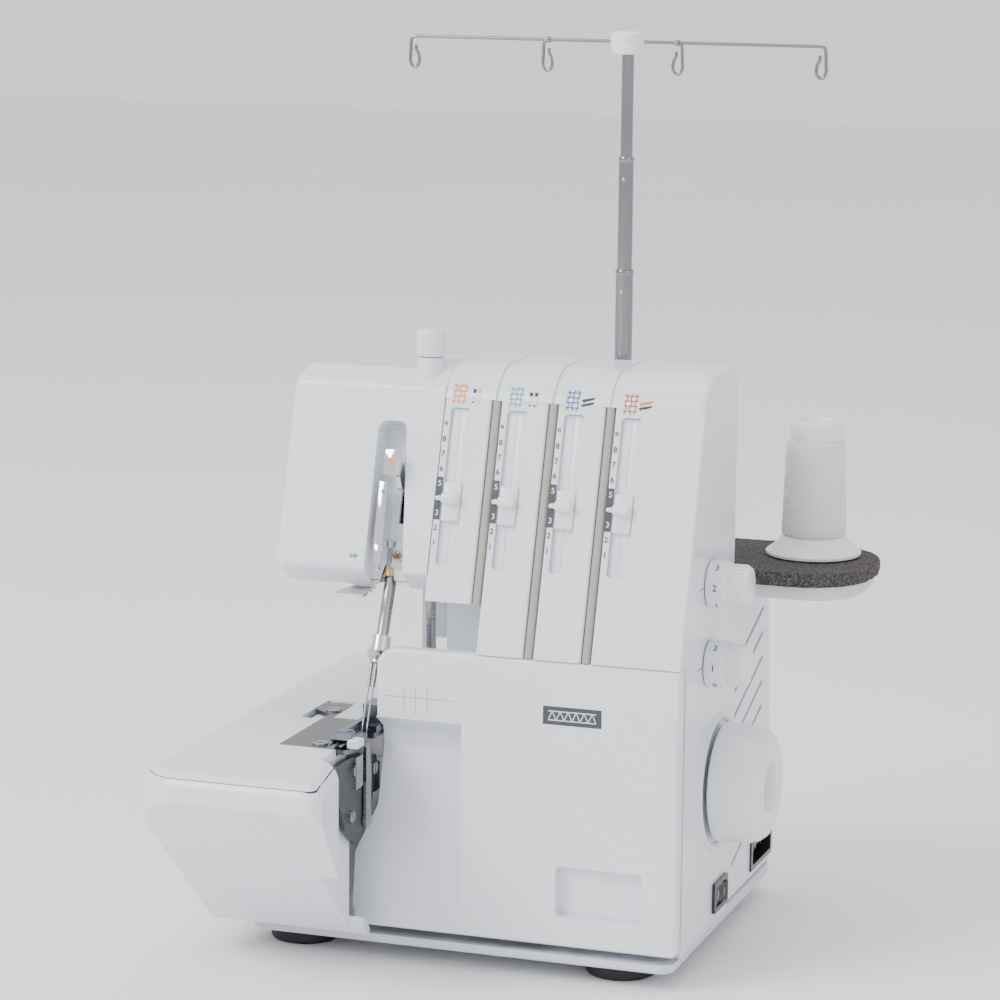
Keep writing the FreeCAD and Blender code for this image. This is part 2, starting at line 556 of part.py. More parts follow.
def make_arm():
    """The sliding arm cover, the fixed arm base and the needle plate with its screws."""
    right = LOWER_WALL_X - 1.0
    plan = [(ARM_LEFT, -ARM_NOSE, 22), (HEAD_RIGHT - 9.5, -ARM_NOSE, 6), (HEAD_RIGHT - 18.5, -58, 0),
            (PLATE_X - 2.2, -55, 0), (PLATE_X - 2.2, -17, 0), (right, -17, 0), (right, ARM_BACK, 0),
            (ARM_LEFT, ARM_BACK, 14)]
    outer = prism(plan, "xy", ARM_FOOT_Z, ARM_TOP)
    outer = soften(outer, 9.0, lambda m, t: m.z > ARM_TOP - 0.1 and m.y < -ARM_NOSE + 0.1)
    front = prism([(-ARM_NOSE - 1, ARM_NOSE_Z - 0.9, 0), (-ARM_NOSE - 1, -1, 0), (-8, -1, 0),
                   (-8, ARM_FOOT_Z - 3, 0)],
                  "yz", ARM_LEFT - 1, 0)
    outer = outer.cut(front)
    inner_plan = [(ARM_LEFT + WALL, -ARM_NOSE + WALL, 19.5), (HEAD_RIGHT - 12.3, -ARM_NOSE + WALL, 4),
                  (HEAD_RIGHT - 21.3, -56, 0), (PLATE_X - 2.2 - WALL, -54, 0),
                  (PLATE_X - 2.2 - WALL, -17, 0),
                  (right + 5, -17, 0), (right + 5, ARM_BACK - WALL, 0),
                  (ARM_LEFT + WALL, ARM_BACK - WALL, 11.5)]
    inner = prism(inner_plan, "xy", ARM_FOOT_Z - 5, ARM_TOP - WALL)
    inner_front = front.copy()
    inner_front.translate(Vector(0, WALL * 1.1, WALL * 1.1))
    shell = outer.cut(inner.cut(inner_front))
    shell = shell.cut(box(PLATE_LEFT - 0.4, 0, PLATE_FRONT - 0.4, PLATE_BACK + 0.4, ARM_TOP - 3.4,
                          ARM_TOP + 1))
    shell = shell.cut(box(PLATE_LEFT - 11.4, 0, PLATE_BACK - 5, PLATE_BACK + 33.4, ARM_TOP - 3.4,
                          ARM_TOP + 1))
    shell = shell.cut(box(PLATE_LEFT - 2, 0, -17.5, PLATE_BACK + 12, ARM_TOP - 9, ARM_TOP - 1))
    shell = shell.cut(prism(cover_outline(1.6), "xz", -0.8, 14))
    shell = shell.cut(box(PLATE_X - 18, 0, -9, 6, 0, 31))
    shell = shell.cut(box(NEEDLE_X - 16, 0, -22, -16.5, ARM_TOP - 8, ARM_TOP - 3))
    nodes["arm_cover"] = shell
    base = box(PLATE_X - 38, LOWER_WALL_X - 0.3, 14.2, 92, FLOOR_Z, ARM_TOP - WALL - 0.3)
    base = base.cut(box(PLATE_X - 34, LOWER_WALL_X - 4.3, 18.2, 88, FLOOR_Z + 4, ARM_TOP))
    ledge = box(PLATE_LEFT + 1, PLATE_X - 2.2, -15, 30, ARM_TOP - 8, ARM_TOP - PLATE_THICKNESS - 0.02)
    lobe = box(PLATE_LEFT - 9, PLATE_LEFT + 12, 22, 56, ARM_TOP - 8, ARM_TOP - PLATE_THICKNESS - 0.02)
    land = box(PLATE_LEFT + 4.3, LOWER_WALL_X - 0.3, PLATE_BACK + 0.3, PLATE_BACK + 33.0, ARM_TOP - 8,
               ARM_TOP - 0.02)
    feed_room = box(NEEDLE_X - 16, 0, -30, 16, ARM_TOP - 15, ARM_TOP)
    nodes["arm_base"] = fuse([base, ledge, lobe, land]).cut(feed_room)
    plate = prism([(PLATE_LEFT, PLATE_FRONT, 3), (PLATE_RIGHT, PLATE_FRONT, 3),
                   (PLATE_RIGHT, PLATE_BACK, 0),
                   (PLATE_LEFT + 4, PLATE_BACK, 0), (PLATE_LEFT + 4, PLATE_BACK + 30, 4),
                   (PLATE_LEFT - 11, PLATE_BACK + 30, 8), (PLATE_LEFT - 11, PLATE_BACK + 14, 5),
                   (PLATE_LEFT, PLATE_BACK + 6, 3)], "xy", ARM_TOP - PLATE_THICKNESS, ARM_TOP)
    for slot in FEED_SLOTS:
        plate = plate.cut(box(slot - 1.6, slot + 1.6, -20, 14, 0, 200))
    plate = plate.cut(box(NEEDLE_X - 4.0, NEEDLE_X + 2.4, -7.6, 0.8, 0, 200))
    screws = []
    for x, y in ((PLATE_LEFT + 18.2, PLATE_FRONT + 7.3), (PLATE_LEFT - 0.9, PLATE_BACK + 13.6)):
        fixing = screw(Vector(x, y, ARM_TOP - 0.5), (0, 0, 1), 4.0, 1.3, 2.0, 4.0 if y > 0 else 1.6, 1.0)
        screws.append(fixing)
        plate = plate.cut(rod(4.05, Vector(x, y, ARM_TOP - 0.5), Vector(x, y, ARM_TOP + 2)))
        plate = plate.cut(rod(2.0, Vector(x, y, ARM_TOP - 9), Vector(x, y, ARM_TOP)))
        nodes["arm_base"] = nodes["arm_base"].cut(rod(2.0, Vector(x, y, ARM_TOP - 9),
                                                      Vector(x, y, ARM_TOP)))
    nodes["needle_plate"] = plate
    nodes["needle_plate_screws"] = Part.makeCompound(screws)
    teeth = [box(NEEDLE_X - 14, NEEDLE_X - 3.6, -19, -9, ARM_TOP - 6.6, ARM_TOP - 4.6)]
    for slot in FEED_SLOTS:
        teeth.append(box(slot - 1.2, slot + 1.2, -18, -9, ARM_TOP - 5, ARM_TOP - 1.4))
        teeth.append(box(slot - 1.2, slot + 1.2, -9.5, 11, ARM_TOP - 5, ARM_TOP - 1.4))
        for step in range(9):
            y = -17.5 + step * 3.1
            teeth.append(prism([(y, ARM_TOP - 2, 0), (y + 2.4, ARM_TOP - 2, 0),
                                (y + 1.9, ARM_TOP - 0.5, 0)],
                               "yz", slot - 1.2, slot + 1.2))
    nodes["feed_dog"] = fuse(teeth)


# --- looper area ----------------------------------------------------------------------------------



def scoop_side(shift):
    """The scoop seen from the side, moved back by shift; it starts and ends on the front plane."""
    lower = Vector(0, shift, 26)
    bend = Vector(0, 5.5 + shift, 66)
    deep = Vector(0, SCOOP_DEPTH + shift, 108)
    roof = Vector(0, SCOOP_DEPTH - 2.5 + shift, 117)
    lip = Vector(0, shift, 124)
    sweep = Part.Arc(lower, bend, deep).toShape()
    return sweep, deep, roof, lip, lower


def scoop_block(low, high, shift, front):
    """Everything in front of the scoop's surface, between two x positions."""
    sweep, deep, roof, lip, lower = scoop_side(shift)
    corners = [Part.makeLine(deep, roof), Part.makeLine(roof, lip),
               Part.makeLine(lip, Vector(0, front, 124)),
               Part.makeLine(Vector(0, front, 124), Vector(0, front, 26)),
               Part.makeLine(Vector(0, front, 26), lower)]
    face = Part.Face(Part.Wire([sweep] + corners))
    face.translate(Vector(low, 0, 0))
    return face.extrude(Vector(high - low, 0, 0))


def make_looper_cover():
    """The front door: a shell with a scooped left half, a finger grip and a wrapped right edge."""
    outer = prism(cover_outline(0), "xz", 0, COVER_DEPTH)
    outer = soften(outer, 2.2, lambda m, t: m.y < 0.1 and (abs(m.x) < 0.1 or m.z > SEAM_Z - 0.1))
    hollow = box(-400, -WALL, WALL, 20, 0, SEAM_Z - WALL)
    shell = outer.cut(hollow)
    left = COVER_LEFT - COVER_FLARE
    liner = scoop_block(left, SCOOP_RIGHT + WALL, WALL, 0.4).common(prism(cover_outline(0), "xz", 0, 40))
    shell = fuse([shell, liner])
    shell = shell.cut(scoop_block(left - 9, SCOOP_RIGHT, 0, -9))
    grip = prism(rectangle(-61, -17, 32.6, 58, 3), "xz", -1, 6)
    socket = prism(rectangle(-63, -15, 30.6, 60, 5), "xz", 0.5, 8)
    shell = fuse([shell, socket]).cut(grip)
    hinge_room = rod_x(4.4, left - 9, -WALL - 2, COVER_PIVOT_Y, COVER_PIVOT_Z)
    shell = shell.cut(hinge_room)
    eyes = []
    for x in (HEAD_RIGHT + 9.5, -32):
        root = box(x, x + 9, 1.2, COVER_PIVOT_Y, COVER_PIVOT_Z - 3.0, COVER_PIVOT_Z + 6)
        eye = rod_x(3.4, x, x + 9, COVER_PIVOT_Y, COVER_PIVOT_Z)
        eyes.append(fuse([root, eye]))
    bore = rod_x(2.0 + RUNNING_FIT, HEAD_RIGHT - 18, -9, COVER_PIVOT_Y, COVER_PIVOT_Z)
    cover = fuse([shell] + eyes).cut(bore)
    below = box(-400, 9, -9, 40, 0, FLOOR_Z + 0.9)
    nodes["looper_cover"] = cover.cut(below)
    pin = rod_x(2.0, HEAD_RIGHT + 3.5, -14, COVER_PIVOT_Y, COVER_PIVOT_Z)
    nodes["cover_hinge_shaft"] = pin


def make_looper_area():
    """The black looper plate with its screws, the white inner wall, both loopers and the knives."""
    plate = prism([(-53, 109, 2), (-30, 109, 2), (-10, 108, 3), (11, 102, 3), (2, 75, 2), (-17, 63, 3),
                   (-32, 74.5, 3), (-44, 97, 3)], "yz", PLATE_X - 0.7, PLATE_X + 1.6)
    foot = box(PLATE_X - 0.7, PLATE_X + 1.6, -6, 14.2, 84, 98)
    needle_notch = box(PLATE_X - 9, PLATE_X + 9, -11.6, -3.0, ARM_TOP - 12.4, ARM_TOP)
    plate = fuse([plate, foot]).cut(needle_notch)
    screws = []
    for y, z in ((-22, 102), (-26, 80), (4, 97)):
        start = Vector(PLATE_X + 1.6, y, z)
        screws.append(screw(start, (1, 0, 0), 3.0, 1.8, 1.4, 2.0, 0.9))
    nodes["looper_plate_screws"] = Part.makeCompound(screws)
    for fixing in screws:
        plate = plate.cut(fixing)
    nodes["looper_plate"] = plate
    wall = box(LOWER_WALL_X, THROAT_RIGHT - 0.4, COMPARTMENT_DEPTH + WALL + 0.2, BODY_DEPTH, FLOOR_Z,
               ARM_TOP - 1)
    hollow = box(LOWER_WALL_X + WALL, THROAT_RIGHT, COMPARTMENT_DEPTH + 2 * WALL, BODY_DEPTH - WALL,
                 FLOOR_Z + WALL, ARM_TOP - 1 - WALL)
    wall = wall.cut(hollow)
    wall = wall.cut(box(HEAD_RIGHT - 0.4, 0, COMPARTMENT_DEPTH - 1, BODY_DEPTH + 1, 0, ARM_TOP))
    wall = wall.cut(rod_x(9, LOWER_WALL_X - 1, 0, SHAFT_Y, SHAFT_Z))
    nodes["inner_wall"] = wall
    bracket_low = THROAT_RIGHT - 6.0
    posts = []
    for name, z, reach in (("upper_looper", UPPER_LOOPER_Z, 1), ("lower_looper", LOWER_LOOPER_Z, 0)):
        x = HEAD_RIGHT - 10 - 5 * reach
        shaft = rod_x(3.0, x - 3, bracket_low + 5, LOOPER_SHAFT_Y, z)
        arm = prism([(LOOPER_SHAFT_Y - 5, z - 5, 4), (LOOPER_SHAFT_Y + 5, z - 5, 4),
                     (LOOPER_SHAFT_Y + 4, z + 14, 2),
                     (LOOPER_SHAFT_Y - 3, z + 14, 2)], "yz", x - 3, x + 2)
        blade = prism([(LOOPER_SHAFT_Y - 2, z + 12, 0), (LOOPER_SHAFT_Y + 3, z + 12, 0),
                       (LOOPER_SHAFT_Y + 1, z + 24, 6),
                       (LOOPER_SHAFT_Y - 5, z + 30, 0), (LOOPER_SHAFT_Y - 2, z + 22, 4)], "yz", x - 1.2,
                      x + 0.8)
        nodes[name] = fuse([shaft, arm, blade])
        post = box(bracket_low, bracket_low + 5.8, LOOPER_SHAFT_Y - 7, COMPARTMENT_DEPTH, z - 7, z + 7)
        bore = rod_x(3.0 + RUNNING_FIT, bracket_low - 9, bracket_low + 9, LOOPER_SHAFT_Y, z)
        posts.append(post.cut(bore))
    nodes["looper_bearings"] = Part.makeCompound(posts)
    x = PLATE_X + 2.9
    knife_pin = Vector(x, -6, 74)
    blade = prism([(-9, 70, 2), (-3, 70, 2), (-2, 98, 1), (-5, 112, 0), (-9, 110, 0)], "yz", x - 0.7,
                  x + 0.7)
    eye = rod(4, knife_pin - Vector(0.9, 0, 0), knife_pin + Vector(0.9, 0, 0))
    knife = fuse([blade, eye]).cut(rod(1.8 + RUNNING_FIT, knife_pin - Vector(9, 0, 0),
                                       knife_pin + Vector(9, 0, 0)))
    nodes["upper_knife"] = knife
    nodes["knife_pin"] = rod(1.8, Vector(PLATE_X + 1.6, -6, 74), knife_pin + Vector(1.1, 0, 0))
    lower = prism([(-21, 92, 0.5), (-12, 92, 0.5), (-12, 108, 0), (-21, 108, 0)], "yz", PLATE_X + 1.62,
                  PLATE_X + 3.0)
    nodes["lower_knife"] = lower.cut(nodes["looper_plate_screws"]).cut(nodes["knife_pin"])


# --- needle and presser ---------------------------------------------------------------------------
def along_needle(height):
    """The point of the needle bar's axis at a height."""
    return NEEDLE_POINT + NEEDLE_DIR * ((height - NEEDLE_Z) / NEEDLE_DIR.z)


def make_needle_group():
    """Needle bar with clamp, clamp screw and two needles, and the bushes that guide it."""
    nodes["needle_bar"] = rod(NEEDLE_BAR_RADIUS, along_needle(151), along_needle(206))
    clamp = rod(CLAMP_RADIUS, along_needle(148), along_needle(160))
    clamp = clamp.fuse(box(NEEDLE_X - 5.2, NEEDLE_X + 3.0, NEEDLE_Y - 6.6, NEEDLE_Y + 1, 149,
                           155)).removeSplitter()
    clamp = clamp.cut(rod(NEEDLE_BAR_RADIUS, along_needle(151), along_needle(170)))
    seat = along_needle(152) + Vector(0, -6.6, 1.5)
    nodes["needle_clamp_screw"] = screw(seat, (0, -1, 0.25), 2.5, 3.6, 1.2, 3.0, 0.8)
    needles = []
    for side in NEEDLE_SHIFTS:
        shift = Vector(side, 0, 0)
        shank = rod(0.95, along_needle(137) + shift, along_needle(149) + shift)
        blade = rod(0.45, along_needle(118.5) + shift, along_needle(137) + shift)
        tip = Part.makeCone(0.05, 0.45, 3.0, along_needle(118.5) + shift - NEEDLE_DIR * 3.0, NEEDLE_DIR)
        needles.append(fuse([shank, blade, tip]))
    clamp = clamp.cut(needles[0]).cut(needles[1]).cut(nodes["needle_clamp_screw"])
    nodes["needle_clamp"] = clamp
    nodes["needles"] = Part.makeCompound(needles)
    bushes = []
    for low, high in ((187.2, 192), (197, 203)):
        bushes.append(tube(5.2, NEEDLE_BAR_RADIUS + RUNNING_FIT, along_needle(low), along_needle(high)))
    nodes["needle_bar_bushes"] = Part.makeCompound(bushes)


def make_presser_group():
    """Presser bar, foot and its guide tip, spring, pressure knob and lifter lever."""
    x = PRESSER_X
    nodes["presser_bar"] = rod(PRESSER_RADIUS, Vector(x, PRESSER_Y, 125), Vector(x, PRESSER_Y, 262))
    ankle = box(x - 6, x + 6, PRESSER_Y - 7, PRESSER_Y + 6, 122, 136)
    shank = box(x - 13, x + 2, 16.6, PRESSER_Y - 4, 122, 128)
    post = box(NEEDLE_X - 6, FOOT_RIGHT, 6, 20, ARM_TOP + 3, 128)
    sole = prism([(-33, ARM_TOP + 4.6, 0), (-27, ARM_TOP + 0.25, 4), (12, ARM_TOP + 0.25, 1),
                  (12, ARM_TOP + 3.4, 1),
                  (-24, ARM_TOP + 3.4, 3), (-32, ARM_TOP + 7.5, 0)], "yz", NEEDLE_X - 7.5, FOOT_RIGHT)
    sole = sole.cut(box(NEEDLE_X - 4.2, FOOT_RIGHT + 1, -9.5, 2.8, 100, 130))
    rib = box(NEEDLE_X - 7.2, NEEDLE_X - 4.6, -16, 8, ARM_TOP + 3.0, 121)
    foot = fuse([ankle, shank, post, sole, rib])
    foot = foot.cut(rod(PRESSER_RADIUS, Vector(x, PRESSER_Y, 125), Vector(x, PRESSER_Y, 150)))
    guide_y = -30.0
    guide = box(FOOT_RIGHT - 0.9, FOOT_RIGHT + 4.6, guide_y - 4, guide_y + 4, ARM_TOP + 1.2, ARM_TOP + 5.2)
    guide = soften(guide, 1.2, lambda m, t: m.z > ARM_TOP + 5.1)
    nodes["presser_foot_guide"] = guide.cut(foot)
    nodes["presser_foot"] = foot
    nodes["presser_spring"] = tube(4.8, PRESSER_RADIUS + 0.3, Vector(x, PRESSER_Y, 236),
                                   Vector(x, PRESSER_Y, 262))
    collar = tube(5.0, PRESSER_RADIUS, Vector(x, PRESSER_Y, 232.5), Vector(x, PRESSER_Y, 236))
    pin = box(x - 1.5, x + 1.5, PRESSER_Y + 4.6, PRESSER_Y + 16, 232.6, 235.4)
    nodes["presser_collar"] = fuse([collar, pin])
    knob_low = BODY_TOP + 3
    stem = rod(4.6, Vector(x, PRESSER_Y, 262), Vector(x, PRESSER_Y, knob_low + 1))
    stem = stem.cut(rod(PRESSER_RADIUS + 0.3, Vector(x, PRESSER_Y, 255), Vector(x, PRESSER_Y, 272)))
    cap = rod(7, Vector(x, PRESSER_Y, knob_low), Vector(x, PRESSER_Y, knob_low + 13.5))
    cap = soften(cap, 1.5, lambda m, t: m.z > knob_low + 13)
    for step in range(16):
        turn = math.radians(step * 22.5)
        notch = Vector(x + 7.3 * math.cos(turn), PRESSER_Y + 7.3 * math.sin(turn), knob_low - 1)
        cap = cap.cut(rod(0.7, notch, notch + Vector(0, 0, 11)))
    nodes["pressure_knob"] = fuse([stem, cap])
    lever_x = x - 8
    pivot = Vector(lever_x, PRESSER_Y + 30, 178)
    tongue = prism([(PRESSER_Y + 25.2, 182.6, 4.6), (PRESSER_Y + 35, 182.6, 4.6), (PRESSER_Y + 42, 158, 8),
                    (PRESSER_Y + 40, 147, 2), (PRESSER_Y + 34, 146, 2), (PRESSER_Y + 32, 160, 8)],
                   "yz", lever_x - 4, lever_x + 4)
    nodes["lifter_lever"] = tongue.cut(rod(2 + RUNNING_FIT, pivot - Vector(9, 0, 0),
                                           pivot + Vector(9, 0, 0)))
    pin_left = rod(2, pivot - Vector(8, 0, 0), pivot + Vector(8, 0, 0))
    ears = [pin_left]
    for side in (-8, 5):
        ears.append(box(lever_x + side, lever_x + side + 3, pivot.y - 4, pivot.y + 4, 174.5,
                        HEAD_BOTTOM_Z + 0.15))
    nodes["lifter_bracket"] = fuse(ears)


def make_head_casting():
    """The cast bracket inside the head that holds the bushes and the take-up pivot."""
    right = HEAD_RIGHT - 0.3 - WALL - 0.1
    web = box(right - 3.4, right, 26, BODY_DEPTH - WALL - 0.2, HEAD_BOTTOM_Z + 2.7, 214)
    post = box(right - 3.4, right, 55, 75, 213, 234)
    arms = [web, post]
    for low, high in ((187.2, 191.5), (197, 202.5)):
        centre = along_needle((low + high) / 2)
        arms.append(box(NEEDLE_X + 2, right - 1, centre.y + 4, centre.y + 9.5, low, high))
        arms.append(box(NEEDLE_X - 6.5, NEEDLE_X + 3, centre.y + 3.5, centre.y + 9.5, low, high))
    casting = fuse(arms)
    casting = casting.cut(rod(5.2, along_needle(175), along_needle(215)))
    casting = casting.cut(rod(PRESSER_RADIUS + 0.4, Vector(PRESSER_X, PRESSER_Y, 180),
                              Vector(PRESSER_X, PRESSER_Y, 240)))
    nodes["head_casting"] = casting.cut(nodes["take_up_pivot_pin"]).cut(nodes["needle_bar_bushes"])


# --- drive ----------------------------------------------------------------------------------------
def make_drive():
    """Main shaft with handwheel and pulley, motor with pulley, belt, bushes and the base casting."""
    axis = Vector(0, SHAFT_Y, SHAFT_Z)
    left_end = HEAD_RIGHT + 6
    nodes["main_shaft"] = rod(SHAFT_RADIUS, axis + Vector(left_end, 0, 0),
                              axis + Vector(SIDE_GAP + 12, 0, 0))
    wheel_low = axis + Vector(SIDE_GAP, 0, 0)
    wheel_high = axis + Vector(SIDE_GAP + HANDWHEEL_WIDTH, 0, 0)
    wheel = rod(HANDWHEEL_RADIUS, wheel_low, wheel_high)
    wheel = soften(wheel, 3.0, lambda m, t: m.x > SIDE_GAP + HANDWHEEL_WIDTH - 0.1)
    wheel = wheel.cut(rod(12, wheel_high - Vector(9, 0, 0), wheel_high + Vector(1, 0, 0)))
    for step in range(36):
        turn = math.radians(step * 10)
        spot = axis + Vector(SIDE_GAP + 4, (HANDWHEEL_RADIUS + 0.6) * math.cos(turn),
                             (HANDWHEEL_RADIUS + 0.6) * math.sin(turn))
        wheel = wheel.cut(rod(1.3, spot, spot + Vector(HANDWHEEL_WIDTH - 9, 0, 0)))
    nodes["handwheel"] = wheel.cut(nodes["main_shaft"])
    low = PULLEY_X - PULLEY_WIDTH / 2
    high = PULLEY_X + PULLEY_WIDTH / 2
    nodes["shaft_pulley"] = grooved_pulley(SHAFT_PULLEY_RADIUS, SHAFT_RADIUS, low, high, SHAFT_Y, SHAFT_Z)
    nodes["motor_pulley"] = fuse([
        grooved_pulley(MOTOR_PULLEY_RADIUS, 0, low, high, MOTOR_Y, MOTOR_Z),
        rod_x(2.5, low - 14, low, MOTOR_Y, MOTOR_Z),
    ])
    nodes["drive_belt"] = belt_loop(SHAFT_PULLEY_RADIUS - 1.0, MOTOR_PULLEY_RADIUS - 1.0)
    motor_right = low - 6
    can = rod_x(MOTOR_RADIUS, motor_right - MOTOR_LENGTH, motor_right, MOTOR_Y, MOTOR_Z)
    can = soften(can, 3.0, lambda m, t: abs(m.x - motor_right) < 0.1 or abs(m.x - motor_right + MOTOR_LENGTH) < 0.1)
    foot = box(motor_right - MOTOR_LENGTH + 8, motor_right - 8, MOTOR_Y - 20, MOTOR_Y + 20, FLOOR_Z + WALL,
               MOTOR_Z - MOTOR_RADIUS + 6)
    nodes["motor"] = fuse([can, foot]).cut(rod(2.5 + RUNNING_FIT, Vector(motor_right - 9, MOTOR_Y, MOTOR_Z),
                                               Vector(motor_right + 9, MOTOR_Y, MOTOR_Z)))
    walls = []
    bushes = []
    for x in (-32.0, HEAD_RIGHT + 18.0):
        wall = prism([(SHAFT_Y - 24, FLOOR_Z + WALL, 0), (SHAFT_Y + 24, FLOOR_Z + WALL, 0),
                      (SHAFT_Y + 12, SHAFT_Z + 12, 8),
                      (SHAFT_Y - 12, SHAFT_Z + 12, 8)], "yz", x, x + 6)
        walls.append(wall.cut(rod(8, axis + Vector(x - 1, 0, 0), axis + Vector(x + 7, 0, 0))))
        bushes.append(tube(8, SHAFT_RADIUS + RUNNING_FIT, axis + Vector(x - 2, 0, 0),
                           axis + Vector(x + 8, 0, 0)))
    floor = box(HEAD_RIGHT + 18, -26, SHAFT_Y - 22, SHAFT_Y + 22, FLOOR_Z + WALL, FLOOR_Z + WALL + 4)
    nodes["frame_casting"] = fuse(walls + [floor]).cut(Part.makeCompound(bushes))
    nodes["shaft_bushes"] = Part.makeCompound(bushes)


def grooved_pulley(radius, bore, low, high, y, z):
    """A flanged belt pulley on an axis along X."""
    body = rod_x(radius - 1.0, low, high, y, z)
    flanges = [rod_x(radius + 1.6, low, low + 1.2, y, z),
               rod_x(radius + 1.6, high - 1.2, high, y, z)]
    pulley = fuse([body] + flanges)
    if bore:
        pulley = pulley.cut(rod_x(bore, low - 1, high + 1, y, z))
    return pulley


def belt_loop(front_radius, rear_radius):
    """The flat belt round both pulleys, a closed band with tangent straight runs."""
    low = PULLEY_X - PULLEY_WIDTH / 2 + 1.7
    high = PULLEY_X + PULLEY_WIDTH / 2 - 1.7
    faces = []
    for grow in (BELT_THICKNESS + 0.05, 0.05):
        big = front_radius + grow
        small = rear_radius + grow
        run_y = MOTOR_Y - SHAFT_Y
        run_z = MOTOR_Z - SHAFT_Z
        distance = math.hypot(run_y, run_z)
        heading = math.atan2(run_z, run_y)
        spread = math.acos((big - small) / distance)
        ends = []
        for sign in (1, -1):
            turn = heading + sign * spread
            ends.append((Vector(low, SHAFT_Y + big * math.cos(turn), SHAFT_Z + big * math.sin(turn)),
                         Vector(low, MOTOR_Y + small * math.cos(turn), MOTOR_Z + small * math.sin(turn))))
        front = Vector(low, SHAFT_Y - big * math.cos(heading), SHAFT_Z - big * math.sin(heading))
        rear = Vector(low, MOTOR_Y + small * math.cos(heading), MOTOR_Z + small * math.sin(heading))
        wire = Part.Wire([
            Part.Arc(ends[0][0], front, ends[1][0]).toShape(), Part.makeLine(ends[1][0], ends[1][1]),
            Part.Arc(ends[1][1], rear, ends[0][1]).toShape(), Part.makeLine(ends[0][1], ends[0][0])])
        faces.append(Part.Face(wire).extrude(Vector(high - low, 0, 0)))
    return faces[0].cut(faces[1])


# --- side controls --------------------------------------------------------------------------------
def side_knob(z):
    """A fluted adjusting knob with a raised grip bar, on the right side."""
    base = Vector(0.6, KNOB_Y, z)
    body = rod(KNOB_RADIUS, base, base + Vector(KNOB_LENGTH * 0.45, 0, 0))
    grip = rod(KNOB_RADIUS - 2.2, base, base + Vector(KNOB_LENGTH, 0, 0))
    knob = fuse([body, grip])
    knob = soften(knob, 1.2, lambda m, t: m.x > KNOB_LENGTH + 0.5)
    for step in range(24):
        turn = math.radians(step * 15)
        spot = Vector(1.4, KNOB_Y + (KNOB_RADIUS + 0.3) * math.cos(turn),
                      z + (KNOB_RADIUS + 0.3) * math.sin(turn))
        knob = knob.cut(rod(0.7, spot, spot + Vector(7, 0, 0)))
    stem = rod_x(3.9, -8, 0.7, KNOB_Y, z)
    return fuse([knob, stem])


def make_side():
    """Adjusting knobs, power switch and power inlet."""
    nodes["stitch_length_knob"] = side_knob(LENGTH_KNOB_Z)
    nodes["differential_feed_knob"] = side_knob(FEED_KNOB_Z)
    front = SWITCH_Y - SWITCH_LENGTH / 2
    back = SWITCH_Y + SWITCH_LENGTH / 2
    low = SWITCH_Z - SWITCH_HEIGHT / 2
    high = SWITCH_Z + SWITCH_HEIGHT / 2
    bezel = prism(rectangle(front, back, low, high, 0), "yz", -12, 0.2)
    lip = prism(rectangle(front - 1.2, back + 1.2, low - 1.2, high + 1.2, 1.5), "yz", 0.02, 1.6)
    bezel = fuse([bezel, lip])
    nodes["switch_bezel"] = bezel.cut(prism(rectangle(front + 1.4, back - 1.4, low + 1.4, high - 1.4),
                                            "yz", -9, 3))
    pivot = Vector(-1.5, SWITCH_Y, SWITCH_Z)
    rocker = prism([(-6.0, front + 3.4, 0), (1.4, front + 2.4, 0.4), (0.2, SWITCH_Y, 0),
                    (3.4, back - 2.9, 0.8),
                    (-6.0, back - 3.4, 0)], "xy", low + 1.8, high - 1.8)
    nodes["power_rocker"] = rocker.cut(rod(1.0 + RUNNING_FIT, pivot - Vector(0, 0, 9),
                                           pivot + Vector(0, 0, 9)))
    nodes["rocker_pin"] = rod(1.0, Vector(-1.5, SWITCH_Y, low + 1.4), Vector(-1.5, SWITCH_Y, high - 1.4))


def motor_cover_profile(inset):
    """The motor cover seen from the side, moved inwards by inset."""
    front = BODY_DEPTH + SEAM_GAP
    return [(front, FLOOR_Z + inset, 0), (BASE_DEPTH - 1 - inset, FLOOR_Z + inset, 3),
            (BASE_DEPTH - 16 - inset, 168, 10 - inset), (BASE_DEPTH - 22 - inset, MOTOR_COVER_TOP - inset,
                                                         6 - inset),
            (front, MOTOR_COVER_TOP - inset, 0)]


